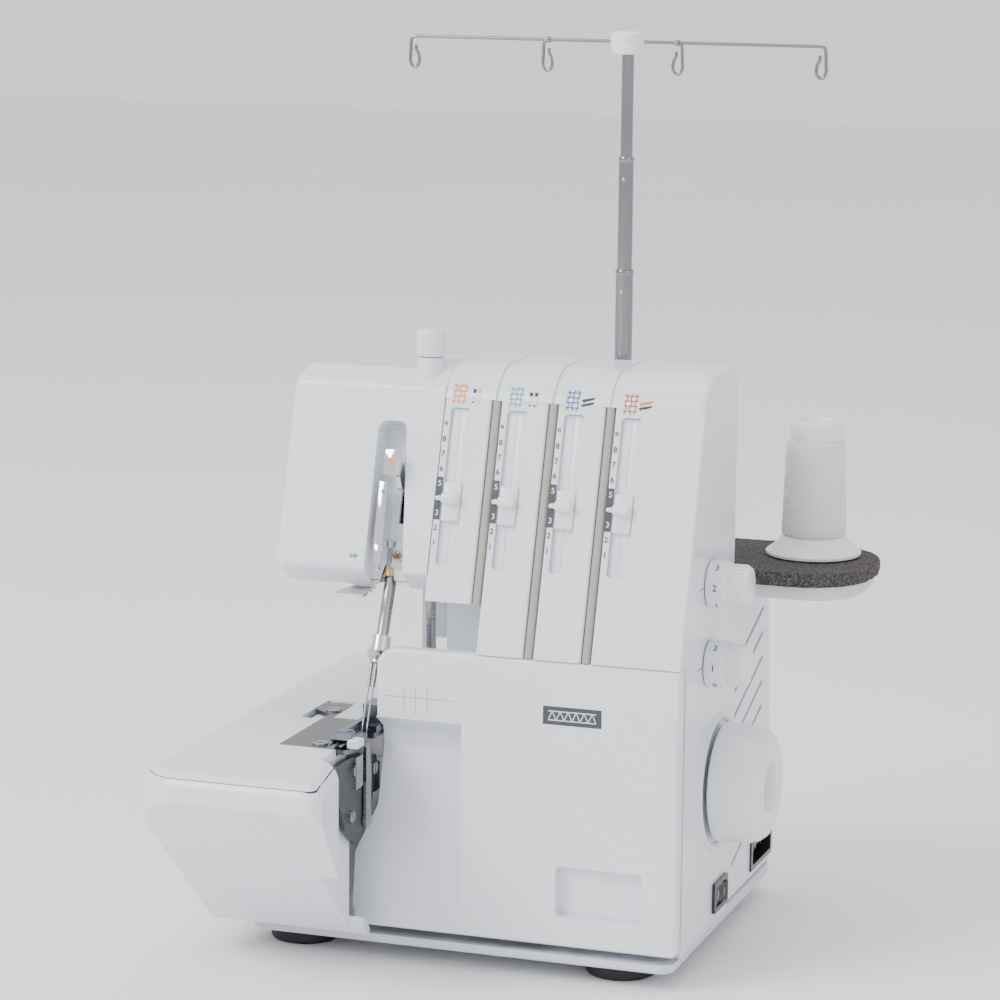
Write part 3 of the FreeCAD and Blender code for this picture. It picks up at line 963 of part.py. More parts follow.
def make_motor_cover():
    """The rear cover with diagonal cooling slits, and the inlet with its pins."""
    right = -2.0
    left = HEAD_RIGHT + 1.5
    outer = prism(motor_cover_profile(0), "yz", left, right)
    outer = soften(outer, 3.0, lambda m, t: (abs(m.x - right) < 0.01 or abs(m.x - left) < 0.01)
                   and m.y > BODY_DEPTH + 8 and m.z > FLOOR_Z + 1)
    inner = prism(motor_cover_profile(WALL), "yz", left + WALL, right - WALL)
    shell = outer.cut(inner)
    for step in range(9):
        z = 44 + step * 13.0
        slit = box(right - 9, right + 1, BODY_DEPTH + 9, BASE_DEPTH - 26, z, z + 2.6)
        slit.rotate(Vector(0, BODY_DEPTH + 40, z), Vector(1, 0, 0), 20)
        shell = shell.cut(slit)
    front = INLET_Y - INLET_LENGTH / 2
    back = INLET_Y + INLET_LENGTH / 2
    low = INLET_Z - INLET_HEIGHT / 2
    high = INLET_Z + INLET_HEIGHT / 2
    shell = shell.cut(prism(rectangle(front - 0.02, back + 0.02, low - 0.02, high + 0.02), "yz", -20, 1))
    nodes["motor_cover"] = shell
    body = prism(rectangle(front, back, low, high), "yz", -19, right + 1.0)
    mouth = prism([(front + 3, low + 2.5, 2), (back - 3, low + 2.5, 2), (back - 3, high - 2.5, 4),
                   (front + 3, high - 2.5, 4)],
                  "yz", -16, 5)
    nodes["power_inlet"] = body.cut(mouth)
    pins = []
    for y in (INLET_Y - 11, INLET_Y, INLET_Y + 11):
        pins.append(rod_x(1.2, -16, -4.5, y, INLET_Z))
    nodes["inlet_pins"] = Part.makeCompound(pins)


# --- spool stand and pole -------------------------------------------------------------------------
def stand_plan(inset, radius):
    """The spool stand from above: it runs behind the body and widens beyond its right side."""
    left = HEAD_LEFT + STAND_LEFT_INSET + inset
    front = BODY_DEPTH + 1.5 + inset
    back = STAND_FRONT + STAND_DEPTH - inset
    side = 1.5 + inset
    return [(left, front, 6), (side, front, 0), (side, STAND_FRONT + inset, 2),
            (STAND_RIGHT - inset, STAND_FRONT + inset, radius),
            (STAND_RIGHT - inset, back, radius), (left, back, 18)]


def make_stand():
    """Spool tray, foam mat, spool pins and the one thread cone."""
    tray_top = MAT_TOP - MAT_THICKNESS
    tray = prism(stand_plan(TRAY_INSET * 0.5, 26), "xy", tray_top - TRAY_THICKNESS, tray_top)
    tray = soften(tray, 2.0, lambda m, t: m.z < tray_top - TRAY_THICKNESS + 0.1)
    legs = [tray]
    for x in (-110, -20):
        legs.append(box(x, x + 14, BODY_DEPTH + 12, BODY_DEPTH + 40, MOTOR_COVER_TOP + 0.02, tray_top - 3))
    tray = fuse(legs)
    mat = prism(stand_plan(0, 34), "xy", tray_top, MAT_TOP)
    pins = []
    for index in range(4):
        spot = Vector(FIRST_PIN_X - PIN_PITCH * index, PIN_Y, tray_top)
        pin = rod(PIN_RADIUS, spot, spot + Vector(0, 0, MAT_THICKNESS + PIN_HEIGHT))
        pins.append(soften(pin, 1.0, lambda m, t: m.z > MAT_TOP + PIN_HEIGHT - 0.1))
        mat = mat.cut(rod(PIN_RADIUS + 0.02, spot - Vector(0, 0, 1), spot + Vector(0, 0, 20)))
    nodes["spool_pins"] = Part.makeCompound(pins)
    base = Vector(POLE_X, POLE_Y, tray_top - TRAY_THICKNESS + 2)
    nodes["spool_stand"] = tray.cut(rod(POLE_RADIUS, base, base + Vector(0, 0, 20)))
    nodes["spool_mat"] = mat.cut(rod(POLE_RADIUS + 0.05, base, base + Vector(0, 0, 40)))
    bottom = MAT_TOP + 0.3
    profile = [(PIN_RADIUS + CONE_BORE_CLEARANCE, bottom, 0), (24, bottom, 0), (24, bottom + 1.6, 0),
               (16, bottom + 9, 5),
               (15.6, bottom + 10, 0), (15.0, bottom + 58, 0), (13.3, bottom + 60, 0),
               (13.3, bottom + 68.3, 1.0),
               (PIN_RADIUS + CONE_BORE_CLEARANCE, bottom + 68.3, 0)]
    half = Part.Face(outline(profile, lambda p: Vector(p.x, 0, p.y)))
    cone = half.revolve(Vector(0, 0, 0), Vector(0, 0, 1), 360)
    cone.translate(Vector(FIRST_PIN_X, PIN_Y, 0))
    nodes["thread_cone"] = cone


def make_pole():
    """Three telescoping tubes and the guide bar with its four eyelets."""
    def at(height):
        return Vector(POLE_X, POLE_Y, height)
    middle = POLE_RADIUS - POLE_WALL - POLE_FIT
    upper = middle - POLE_WALL - POLE_FIT
    low = MAT_TOP - MAT_THICKNESS - TRAY_THICKNESS + 2
    nodes["pole_lower"] = tube(POLE_RADIUS, POLE_RADIUS - POLE_WALL, at(low), at(POLE_LOWER_TOP))
    nodes["pole_middle"] = tube(middle, middle - POLE_WALL, at(POLE_LOWER_TOP - POLE_OVERLAP),
                                at(POLE_MIDDLE_TOP))
    nodes["pole_upper"] = rod(upper, at(POLE_MIDDLE_TOP - POLE_OVERLAP), at(POLE_TOP + 6))
    hub = rod(HUB_RADIUS, at(POLE_TOP), at(POLE_TOP + HUB_HEIGHT))
    hub = soften(hub, 1.5, lambda m, t: True)
    hub = hub.cut(rod(upper + RUNNING_FIT, at(POLE_TOP - 1), at(POLE_TOP + 6 + RUNNING_FIT)))
    nodes["guide_hub"] = hub
    wires = []
    for side, ends in ((-1, GUIDE_SPREAD[:2]), (1, GUIDE_SPREAD[2:])):
        far = max(ends, key=abs)
        arm = rod(GUIDE_WIRE_RADIUS, Vector(POLE_X + side * (HUB_RADIUS + 0.05), POLE_Y, GUIDE_Z),
                  Vector(POLE_X + far, POLE_Y, GUIDE_Z))
        parts = [arm]
        for end in ends:
            drop = rod(GUIDE_WIRE_RADIUS, Vector(POLE_X + end, POLE_Y, GUIDE_Z + 0.2),
                       Vector(POLE_X + end, POLE_Y, GUIDE_Z - 9))
            ring = Part.makeTorus(3.6, GUIDE_WIRE_RADIUS, Vector(POLE_X + end, POLE_Y, GUIDE_Z - 12.4),
                                  Vector(0, 1, 0))
            parts.append(drop)
            parts.append(ring)
        wires.append(fuse(parts))
    nodes["guide_wires"] = Part.makeCompound(wires)


SHARED_NODES = {
    "needle_clamp": ["needle_clamp", "needle_clamp_screw"],
    "tension_panels": ["tension_panel_1", "tension_panel_2", "tension_panel_3", "tension_panel_4"],
    "slotted_screws": ["take_up_plate_screw", "looper_plate_screws", "needle_plate_screws"],
    "pivot_pins": ["take_up_pivot_pin", "knife_pin", "rocker_pin"],
    "bearing_bushes": ["shaft_bushes", "needle_bar_bushes", "looper_bearings"],
    "thread_guides": ["looper_thread_guide", "take_up_plate", "head_thread_guide"],
    "power_inlet": ["power_inlet", "inlet_pins"],
}
JOINED_NODES = {
    "presser_bar": ["presser_bar", "presser_collar"],
    "head_bottom_plate": ["head_bottom_plate", "lifter_bracket"],
}


def share_nodes():
    """Small pieces of one kind share a node as separate solids; brackets join what they stand on."""
    for name, members in SHARED_NODES.items():
        nodes[name] = Part.makeCompound([nodes.pop(member) for member in members])
    for name, members in JOINED_NODES.items():
        nodes[name] = fuse([nodes.pop(member) for member in members])


def write_nodes():
    """Writes every node, centred under the whole machine."""
    os.makedirs("parts", exist_ok=True)
    for name, shape in nodes.items():
        moved = shape.copy()
        moved.translate(Vector(-CENTRE_X, -CENTRE_Y, 0))
        moved.exportStep("parts/%s.step" % name)


make_base()
make_tower()
make_panels()
make_sliders()
make_head()
make_take_up()
make_arm()
make_looper_cover()
make_looper_area()
make_needle_group()
make_presser_group()
make_head_casting()
make_drive()
make_side()
make_motor_cover()
make_stand()
make_pole()
share_nodes()
write_nodes()
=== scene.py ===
import json
import logging
import math
from dataclasses import dataclass, field
from enum import Enum
from typing import Sequence

import bmesh
import bpy
from mathutils import Matrix, Vector


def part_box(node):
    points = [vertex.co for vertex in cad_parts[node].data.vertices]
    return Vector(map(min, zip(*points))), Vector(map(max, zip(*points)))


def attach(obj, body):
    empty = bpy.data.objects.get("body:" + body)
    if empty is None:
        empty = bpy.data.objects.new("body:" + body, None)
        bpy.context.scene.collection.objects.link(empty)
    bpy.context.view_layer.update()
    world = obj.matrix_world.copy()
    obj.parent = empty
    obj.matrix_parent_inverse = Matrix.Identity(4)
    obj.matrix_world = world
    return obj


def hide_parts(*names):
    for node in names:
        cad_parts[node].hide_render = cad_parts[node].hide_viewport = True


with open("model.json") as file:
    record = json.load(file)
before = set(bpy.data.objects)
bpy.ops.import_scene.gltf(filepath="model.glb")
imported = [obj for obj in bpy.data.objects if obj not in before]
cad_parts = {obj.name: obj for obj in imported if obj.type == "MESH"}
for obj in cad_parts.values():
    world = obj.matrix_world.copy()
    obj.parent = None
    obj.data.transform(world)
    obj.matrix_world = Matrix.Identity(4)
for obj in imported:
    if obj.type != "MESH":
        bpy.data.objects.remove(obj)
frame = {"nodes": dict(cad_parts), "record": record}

log = logging.getLogger("serger")
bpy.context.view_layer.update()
MM = 0.001

Colour = tuple[float, float, float]
Point = tuple[float, float, float]


class Grain(Enum):
    """How fine the relief of a finish is, as a noise scale per metre."""

    POLISHED = 900.0
    SATIN = 2600.0
    MOULDED = 1500.0
    RUBBER = 1900.0
    FOAM = 620.0


# --- places ---------------------------------------------------------------------------------------
@dataclass(frozen=True)
class Datum:
    """The corner that the drawing measures from: tower's right side, cover's front, table top."""

    right: float
    front: float

    @classmethod
    def from_frame(cls) -> "Datum":
        """Reads the corner from the tower housing and the looper cover."""
        return cls(right=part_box("tower_housing")[1][0], front=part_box("looper_cover")[0][1])

    def at(self, x: float, y: float, z: float) -> Vector:
        """Turns drawing millimetres into a point of the frame.

        Args:
            x: millimetres to the right of the tower's right side.
            y: millimetres behind the cover's front.
            z: millimetres above the table.

        Returns:
            The point in metres.
        """
        return Vector((self.right + x * MM, self.front + y * MM, z * MM))


DATUM = Datum.from_frame()
SEAM_Z = 158.6
LEAN = math.atan(0.3)
PANEL_LEFTS = (-131.5, -102.6, -73.7, -44.8)
ROLL_RADIUS = 26.0
ROLL_Y = 59.6
ROLL_Z = 267.0


def on_face(x: float, depth: float, up: float) -> Vector:
    """A point on the leaning front of the tower and head.

    Args:
        x: millimetres to the right of the tower's right side.
        depth: millimetres behind the leaning face.
        up: millimetres up the face from the seam.

    Returns:
        The point in metres.
    """
    y = depth * math.cos(LEAN) + up * math.sin(LEAN)
    z = SEAM_Z - depth * math.sin(LEAN) + up * math.cos(LEAN)
    return DATUM.at(x, y, z)


# --- finishes -------------------------------------------------------------------------------------
class Nodes:
    """A small helper that adds and wires shader nodes of one material."""

    def __init__(self, name: str) -> None:
        """Makes an empty node material of that name."""
        self.material = bpy.data.materials.new(name)
        self.material.use_nodes = True
        self.tree = self.material.node_tree
        self.tree.nodes.clear()
        self.output = self.tree.nodes.new("ShaderNodeOutputMaterial")
        self.shader = self.tree.nodes.new("ShaderNodeBsdfPrincipled")
        self.tree.links.new(self.shader.outputs["BSDF"], self.output.inputs["Surface"])
        self.place = self.tree.nodes.new("ShaderNodeTexCoord").outputs["Object"]

    def add(self, kind: str, **inputs: object) -> bpy.types.Node:
        """Adds a node and sets or links its inputs by name.

        Args:
            kind: the node's type without the ShaderNode prefix.
            inputs: input names with underscores for spaces, each a value or an output socket.

        Returns:
            The node.
        """
        node = self.tree.nodes.new("ShaderNode" + kind)
        for key, value in inputs.items():
            socket = node.inputs[key.replace("_", " ")]
            if isinstance(value, bpy.types.NodeSocket):
                self.tree.links.new(value, socket)
            else:
                socket.default_value = value
        return node

    def noise(self, scale: float, detail: float = 2.0, place: bpy.types.NodeSocket | None = None,
              roughness: float = 0.5) -> bpy.types.NodeSocket:
        """A noise value on the object's own coordinates."""
        node = self.add("TexNoise", Vector=place or self.place, Scale=scale, Detail=detail,
                        Roughness=roughness)
        return node.outputs["Fac"]

    def maths(self, operation: str, first: object, second: object = 0.0) -> bpy.types.NodeSocket:
        """One arithmetic step between two values or sockets."""
        node = self.tree.nodes.new("ShaderNodeMath")
        node.operation = operation
        for socket, value in zip(node.inputs, (first, second)):
            if isinstance(value, bpy.types.NodeSocket):
                self.tree.links.new(value, socket)
            else:
                socket.default_value = value
        return node.outputs[0]

    def ramp(self, fac: bpy.types.NodeSocket, low: float, high: float, dark: Colour,
             light: Colour) -> bpy.types.NodeSocket:
        """Spreads a value between two colours."""
        node = self.tree.nodes.new("ShaderNodeValToRGB")
        self.tree.links.new(fac, node.inputs["Fac"])
        node.color_ramp.elements[0].position = low
        node.color_ramp.elements[0].color = (*dark, 1.0)
        node.color_ramp.elements[1].position = high
        node.color_ramp.elements[1].color = (*light, 1.0)
        return node.outputs["Color"]

    def spread(self, fac: bpy.types.NodeSocket, low: float, high: float) -> bpy.types.NodeSocket:
        """Maps a 0 to 1 value on to a range."""
        return self.add("MapRange", Value=fac, To_Min=low, To_Max=high).outputs["Result"]

    def link(self, source: bpy.types.NodeSocket, name: str) -> None:
        """Links a socket to an input of the shader."""
        self.tree.links.new(source, self.shader.inputs[name])

    def bump(self, height: bpy.types.NodeSocket, strength: float, distance: float) -> None:
        """Adds relief from a height value.

        Args:
            height: the socket that gives the height.
            strength: how much of the relief shows.
            distance: the depth in metres that a height of one stands for.
        """
        node = self.add("Bump", Height=height, Strength=strength, Distance=distance)
        self.link(node.outputs["Normal"], "Normal")


def shade(colour: Colour, factor: float) -> Colour:
    """A lighter or darker version of a colour."""
    return tuple(min(1.0, part * factor) for part in colour)


@dataclass(frozen=True)
class Plastic:
    """A moulded plastic, rubber or painted skin with faint mottle, fine grain and handling marks."""

    name: str
    colour: Colour
    roughness: float = 0.3
    grain: Grain = Grain.MOULDED
    relief: float = 0.04
    coat: float = 0.25
    mottle: float = 0.03

    def build(self) -> bpy.types.Material:
        """Makes the material."""
        nodes = Nodes(self.name)
        broad = nodes.noise(14.0, 3.0)
        nodes.link(nodes.ramp(broad, 0.3, 0.7, shade(self.colour, 1 - self.mottle), self.colour),
                   "Base Color")
        smear = nodes.noise(55.0, 4.0)
        nodes.link(nodes.spread(smear, self.roughness * 0.82, self.roughness * 1.22), "Roughness")
        nodes.bump(nodes.noise(self.grain.value, 3.0), self.relief, 0.0004)
        nodes.shader.inputs["Coat Weight"].default_value = self.coat
        nodes.shader.inputs["Coat Roughness"].default_value = 0.12
        nodes.shader.inputs["IOR"].default_value = 1.5
        return nodes.material


@dataclass(frozen=True)
class Metal:
    """A ground, cast or plated metal with fine scratches along one axis."""

    name: str
    colour: Colour
    roughness: float = 0.2
    stretch: Point = (900.0, 60.0, 900.0)
    relief: float = 0.08
    metallic: float = 1.0

    def build(self) -> bpy.types.Material:
        """Makes the material."""
        nodes = Nodes(self.name)
        place = nodes.add("Mapping", Vector=nodes.place, Scale=self.stretch).outputs["Vector"]
        scratches = nodes.noise(1.0, 4.0, place)
        tone = nodes.noise(40.0, 2.0)
        nodes.link(nodes.ramp(tone, 0.3, 0.75, shade(self.colour, 0.9), self.colour), "Base Color")
        nodes.link(nodes.spread(scratches, self.roughness * 0.75, self.roughness * 1.35), "Roughness")
        nodes.bump(scratches, self.relief, 0.0002)
        nodes.shader.inputs["Metallic"].default_value = self.metallic
        return nodes.material


@dataclass(frozen=True)
class Foam:
    """Open-cell foam, dark with random pale flecks, its colour darker in the cell pits as painted shade."""

    name: str = "foam_mat"
    dark: Colour = (0.02, 0.018, 0.017)
    pale: Colour = (0.12, 0.108, 0.1)

    def build(self) -> bpy.types.Material:
        """Makes the material."""
        nodes = Nodes(self.name)
        cells = nodes.add("TexVoronoi", Vector=nodes.place, Scale=900.0).outputs["Distance"]
        speckle = nodes.noise(1100.0, 3.0)
        mixed = nodes.maths("MULTIPLY", cells, speckle)
        # Painted shade: the cell distance that sinks the bump also darkens the colour in each pit, mixed
        # with random speckle.
        nodes.link(nodes.ramp(mixed, 0.1, 0.42, self.dark, self.pale), "Base Color")
        nodes.link(nodes.spread(speckle, 0.85, 1.0), "Roughness")
        nodes.bump(nodes.maths("ADD", cells, nodes.noise(Grain.FOAM.value, 3.0)), 0.8, 0.0008)
        return nodes.material


@dataclass(frozen=True)
class WoundThread:
    """Thread laid in crossing helices round an upright cone, with painted shade between the strands."""

    name: str
    centre: Vector
    colour: Colour = (0.87, 0.865, 0.84)

    def build(self) -> bpy.types.Material:
        """Makes the material."""
        nodes = Nodes(self.name)
        place = nodes.add("Mapping", Vector=nodes.place,
                          Location=(-self.centre.x, -self.centre.y, 0.0)).outputs["Vector"]
        parts = nodes.add("SeparateXYZ", Vector=place)
        angle = nodes.maths("ARCTAN2", parts.outputs["Y"], parts.outputs["X"])
        height = nodes.maths("MULTIPLY", parts.outputs["Z"], 5200.0)
        heights = []
        for turns in (23.0, -23.0):
            phase = nodes.maths("ADD", nodes.maths("MULTIPLY", angle, turns), height)
            wave = nodes.maths("SINE", phase)
            heights.append(nodes.maths("MULTIPLY", nodes.maths("ADD", wave, 1.0), 0.5))
        patches = nodes.maths("GREATER_THAN", nodes.noise(160.0, 1.0), 0.5)
        first = nodes.maths("MULTIPLY", heights[0], patches)
        second = nodes.maths("MULTIPLY", heights[1], nodes.maths("SUBTRACT", 1.0, patches))
        laid = nodes.maths("ADD", first, second)
        # Painted shade: the colour drops to 82 per cent in the low parts of the winding, between the
        # strands.
        nodes.link(nodes.ramp(laid, 0.0, 0.8, shade(self.colour, 0.82), self.colour), "Base Color")
        nodes.link(nodes.spread(laid, 0.75, 0.55), "Roughness")
        nodes.bump(laid, 0.7, 0.0003)
        nodes.shader.inputs["Sheen Weight"].default_value = 0.3
        return nodes.material


class Finishes:
    """Every finish of the machine, built once and handed out by name."""

    def __init__(self) -> None:
        """Builds all the materials."""
        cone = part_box("thread_cone")
        cone_centre = (Vector(cone[0]) + Vector(cone[1])) / 2
        looks = [
            Plastic("shell_white", (0.80, 0.83, 0.88), 0.26),
            Plastic("arm_white", (0.80, 0.83, 0.88), 0.26),
            Plastic("side_white", (0.78, 0.81, 0.86), 0.3),
            Plastic("base_grey", (0.66, 0.68, 0.73), 0.42, Grain.SATIN, 0.08, 0.05),
            # strip_grey is a darkened warm grey: painted shade for the shadow in the thread grooves between
            # the tension panels
            Plastic("strip_grey", (0.36, 0.345, 0.31), 0.38, Grain.SATIN, 0.06, 0.1),
            Plastic("inner_white", (0.78, 0.79, 0.80), 0.4, Grain.SATIN, 0.06, 0.1),
            Plastic("control_white", (0.82, 0.84, 0.87), 0.28),
            Plastic("hub_clear", (0.86, 0.87, 0.88), 0.32, Grain.POLISHED, 0.03, 0.3),
            Plastic("foot_rubber", (0.018, 0.018, 0.02), 0.62, Grain.RUBBER, 0.3, 0.0, 0.2),
            Plastic("belt_rubber", (0.02, 0.02, 0.02), 0.7, Grain.RUBBER, 0.3, 0.0, 0.2),
            Plastic("black_plastic", (0.015, 0.015, 0.017), 0.3, Grain.SATIN, 0.05, 0.2, 0.1),
            Plastic("black_plate", (0.012, 0.013, 0.016), 0.38, Grain.SATIN, 0.1, 0.2, 0.15),
            Plastic("motor_steel", (0.05, 0.05, 0.055), 0.4, Grain.SATIN, 0.1, 0.2, 0.15),
            Plastic("ink_dark", (0.03, 0.03, 0.035), 0.5, Grain.SATIN, 0.02, 0.0),
            Plastic("ink_grey", (0.06, 0.065, 0.075), 0.5, Grain.SATIN, 0.02, 0.0),
            Plastic("ink_orange", (0.85, 0.25, 0.03), 0.5, Grain.SATIN, 0.02, 0.0),
            Plastic("ink_yellow", (0.9, 0.55, 0.03), 0.5, Grain.SATIN, 0.02, 0.0),
            Plastic("ink_teal", (0.02, 0.4, 0.36), 0.5, Grain.SATIN, 0.02, 0.0),
            Plastic("ink_blue", (0.05, 0.09, 0.42), 0.5, Grain.SATIN, 0.02, 0.0),
            Plastic("ink_red", (0.65, 0.05, 0.03), 0.5, Grain.SATIN, 0.02, 0.0),
            # recess_grey is a mid grey, darker than the white shell; on the moulded cutting guides it is
            # painted shade of their relief
            Plastic("recess_grey", (0.5, 0.51, 0.54), 0.4, Grain.SATIN, 0.04, 0.05),
            Metal("chrome", (0.78, 0.78, 0.79), 0.1, relief=0.03),
            Metal("pole_chrome", (0.30, 0.31, 0.33), 0.12, (900.0, 900.0, 30.0), 0.04),
            Metal("steel", (0.42, 0.42, 0.43), 0.26),
            Metal("plate_steel", (0.20, 0.205, 0.22), 0.32, (60.0, 900.0, 900.0), 0.12),
            Metal("foot_steel", (0.20, 0.225, 0.27), 0.26),
            Metal("cast", (0.5, 0.51, 0.52), 0.5, (700.0, 700.0, 700.0), 0.3),
            Metal("brass", (0.72, 0.52, 0.24), 0.25),
            Metal("bronze_screw", (0.36, 0.22, 0.12), 0.35),
            Foam(),
            WoundThread("thread", cone_centre),
        ]
        self.built = {look.name: look.build() for look in looks}

    def __getitem__(self, name: str) -> bpy.types.Material:
        """The material of that name."""
        return self.built[name]


# --- mesh work ------------------------------------------------------------------------------------
def frame_axes(normal: Vector, up: Vector) -> Matrix:
    """A rotation whose Z is the normal and whose Y is as near to up as it can be."""
    out = normal.normalized()
    side = up.cross(out).normalized()
    return Matrix((side, out.cross(side), out)).transposed().to_4x4()


FACE_TURN = frame_axes(Vector((0.0, -math.cos(LEAN), math.sin(LEAN))),
                       Vector((0.0, math.sin(LEAN), math.cos(LEAN))))
FRONT_TURN = frame_axes(Vector((0.0, -1.0, 0.0)), Vector((0.0, 0.0, 1.0)))
SIDE_TURN = frame_axes(Vector((1.0, 0.0, 0.0)), Vector((0.0, 0.0, 1.0)))
TOP_TURN = Matrix.Identity(4)


@dataclass
class Shop:
    """Turns finished bmeshes into pieces that ride on the machine's bodies."""

    finishes: Finishes
    made: list[str] = field(default_factory=list)

    def piece(self, name: str, mesh: bmesh.types.BMesh, finish: str, body: str = "root",
              slot: str = "shell_white",
              crease: float = 35.0) -> bpy.types.Object:
        """Makes an object of a bmesh, dresses it and rides it on a body.

        Args:
            name: the piece's name.
            mesh: the shape, in metres in the frame; it is freed.
            finish: the finish's name.
            body: the body that it moves with.
            slot: the record's material slot; not used.
            crease: the angle in degrees above which an edge stays sharp.

        Returns:
            The object.
        """
        bmesh.ops.remove_doubles(mesh, verts=mesh.verts, dist=1e-6)
        bmesh.ops.recalc_face_normals(mesh, faces=mesh.faces)
        data = bpy.data.meshes.new(name)
        mesh.to_mesh(data)
        mesh.free()
        for polygon in data.polygons:
            polygon.use_smooth = True
        data.set_sharp_from_angle(angle=math.radians(crease))
        made = bpy.data.objects.new(name, data)
        bpy.context.scene.collection.objects.link(made)
        data.materials.append(self.finishes[finish])
        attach(made, body)
        self.made.append(name)
        log.info("piece %s on %s: %d faces", name, body, len(data.polygons))
        return made


def lathe(profile: Sequence[tuple[float, float]], base: Vector, turn: Matrix,
          steps: int = 64) -> bmesh.types.BMesh:
    """Spins a profile round an axis.

    Args:
        profile: (radius, height) pairs in millimetres, height along the axis.
        base: the point of the axis at height zero.
        turn: a rotation whose Z is the axis.
        steps: the number of faces round the axis.

    Returns:
        The closed shape.
    """
    mesh = bmesh.new()
    verts = [mesh.verts.new((radius * MM, 0.0, height * MM)) for radius, height in profile]
    edges = [mesh.edges.new(pair) for pair in zip(verts, verts[1:])]
    bmesh.ops.spin(mesh, geom=verts + edges, cent=(0, 0, 0), axis=(0, 0, 1), angle=math.tau, steps=steps,
                   use_merge=True)
    bmesh.ops.remove_doubles(mesh, verts=mesh.verts, dist=1e-7)
    bmesh.ops.transform(mesh, matrix=Matrix.Translation(base) @ turn, verts=mesh.verts)
    return mesh


def slab(outline: Sequence[tuple[float, float]], thickness: float, base: Vector, turn: Matrix,
         bevel: float = 0.0,
         segments: int = 2) -> bmesh.types.BMesh:
    """A flat plate from an outline, standing on a plane.

    Args:
        outline: corners in millimetres, in the plane's own X and Y.
        thickness: height in millimetres along the plane's normal.
        base: the plane's origin.
        turn: a rotation whose Z is the plane's normal.
        bevel: rounding of every edge in millimetres.
        segments: steps of that rounding.

    Returns:
        The closed shape.
    """
    mesh = bmesh.new()
    verts = [mesh.verts.new((x * MM, y * MM, 0.0)) for x, y in outline]
    face = mesh.faces.new(verts)
    grown = bmesh.ops.extrude_face_region(mesh, geom=[face])
    raised = [part for part in grown["geom"] if isinstance(part, bmesh.types.BMVert)]
    bmesh.ops.translate(mesh, vec=(0, 0, thickness * MM), verts=raised)
    if bevel:
        bmesh.ops.bevel(mesh, geom=mesh.edges[:], offset=bevel * MM, offset_type="OFFSET",
                        segments=segments,
                        profile=0.5, affect="EDGES", material=-1)
    bmesh.ops.recalc_face_normals(mesh, faces=mesh.faces)
    bmesh.ops.transform(mesh, matrix=Matrix.Translation(base) @ turn, verts=mesh.verts)
    return mesh


def block(size: Point, base: Vector, turn: Matrix, bevel: float = 0.3,
          segments: int = 3) -> bmesh.types.BMesh:
    """A rounded block, centred on its base plane and standing up from it."""
    half_x, half_y = size[0] / 2, size[1] / 2
    corners = [(-half_x, -half_y), (half_x, -half_y), (half_x, half_y), (-half_x, half_y)]
    return slab(corners, size[2], base, turn, bevel, segments)


def join(*meshes: bmesh.types.BMesh) -> bmesh.types.BMesh:
    """Puts several bmeshes into the first one."""
    first = meshes[0]
    for other in meshes[1:]:
        data = bpy.data.meshes.new("joining")
        other.to_mesh(data)
        other.free()
        first.from_mesh(data)
        bpy.data.meshes.remove(data)
    return first


def drawn_tube(points: Sequence[Vector], radius: float, smooth: bool = True) -> bmesh.types.BMesh:
    """A round wire through points.

    Args:
        points: the wire's route in metres.
        radius: half the wire's thickness in millimetres.
        smooth: whether the route is a curve rather than straight runs.

    Returns:
        The wire's mesh.
    """
    curve = bpy.data.curves.new("wire", "CURVE")
    curve.dimensions = "3D"
    curve.bevel_depth = radius * MM
    curve.bevel_resolution = 4
    curve.use_fill_caps = True
    spline = curve.splines.new("NURBS" if smooth else "POLY")
    spline.points.add(len(points) - 1)
    for target, point in zip(spline.points, points):
        target.co = (*point, 1.0)
    if smooth:
        spline.order_u = 3
        spline.use_endpoint_u = True
        spline.resolution_u = 8
    holder = bpy.data.objects.new("wire", curve)
    bpy.context.scene.collection.objects.link(holder)
    bpy.context.view_layer.update()
    data = bpy.data.meshes.new_from_object(holder.evaluated_get(bpy.context.evaluated_depsgraph_get()))
    mesh = bmesh.new()
    mesh.from_mesh(data)
    bpy.data.objects.remove(holder)
    bpy.data.curves.remove(curve)
    return mesh


def lettering(words: str, size: float, base: Vector, turn: Matrix) -> bmesh.types.BMesh:
    """Plain figures as thin raised ink.

    Args:
        words: the figures.
        size: their height in millimetres.
        base: the middle of the line of figures.
        turn: a rotation whose Z is the surface's normal.

    Returns:
        The ink's mesh.
    """
    curve = bpy.data.curves.new("ink", "FONT")
    curve.body = words
    curve.size = size * MM * 1.35
    curve.align_x = "CENTER"
    curve.align_y = "CENTER"
    curve.extrude = 0.04 * MM
    curve.offset = 0.04 * MM
    holder = bpy.data.objects.new("ink", curve)
    bpy.context.scene.collection.objects.link(holder)
    bpy.context.view_layer.update()
    data = bpy.data.meshes.new_from_object(holder.evaluated_get(bpy.context.evaluated_depsgraph_get()))
    mesh = bmesh.new()
    mesh.from_mesh(data)
    bpy.data.objects.remove(holder)
    bpy.data.curves.remove(curve)
    bmesh.ops.transform(mesh, matrix=Matrix.Translation(base) @ turn, verts=mesh.verts)
    return mesh


def bar_mark(width: float, height: float, base: Vector, turn: Matrix) -> bmesh.types.BMesh:
    """A thin printed bar, centred on base."""
    return block((width, height, 0.06), base, turn, 0.02, 1)


# --- carried-over nodes ---------------------------------------------------------------------------
@dataclass
class CarriedNodes:
    """The drawn parts that keep their shape and only take a finish."""

    finishes: Finishes
    metal_pole: tuple[str, ...] = ("pole_lower", "pole_middle", "pole_upper")

    def dress(self) -> None:
        """Gives every node the finish of its material slot."""
        for part in frame["record"]["subparts"]:
            node = frame["nodes"][part["node"]]
            finish = "pole_chrome" if part["node"] in self.metal_pole else part["material_slot"]
            material = self.finishes[finish if finish in self.finishes.built else "shell_white"]
            node.data.materials.clear()
            node.data.materials.append(material)


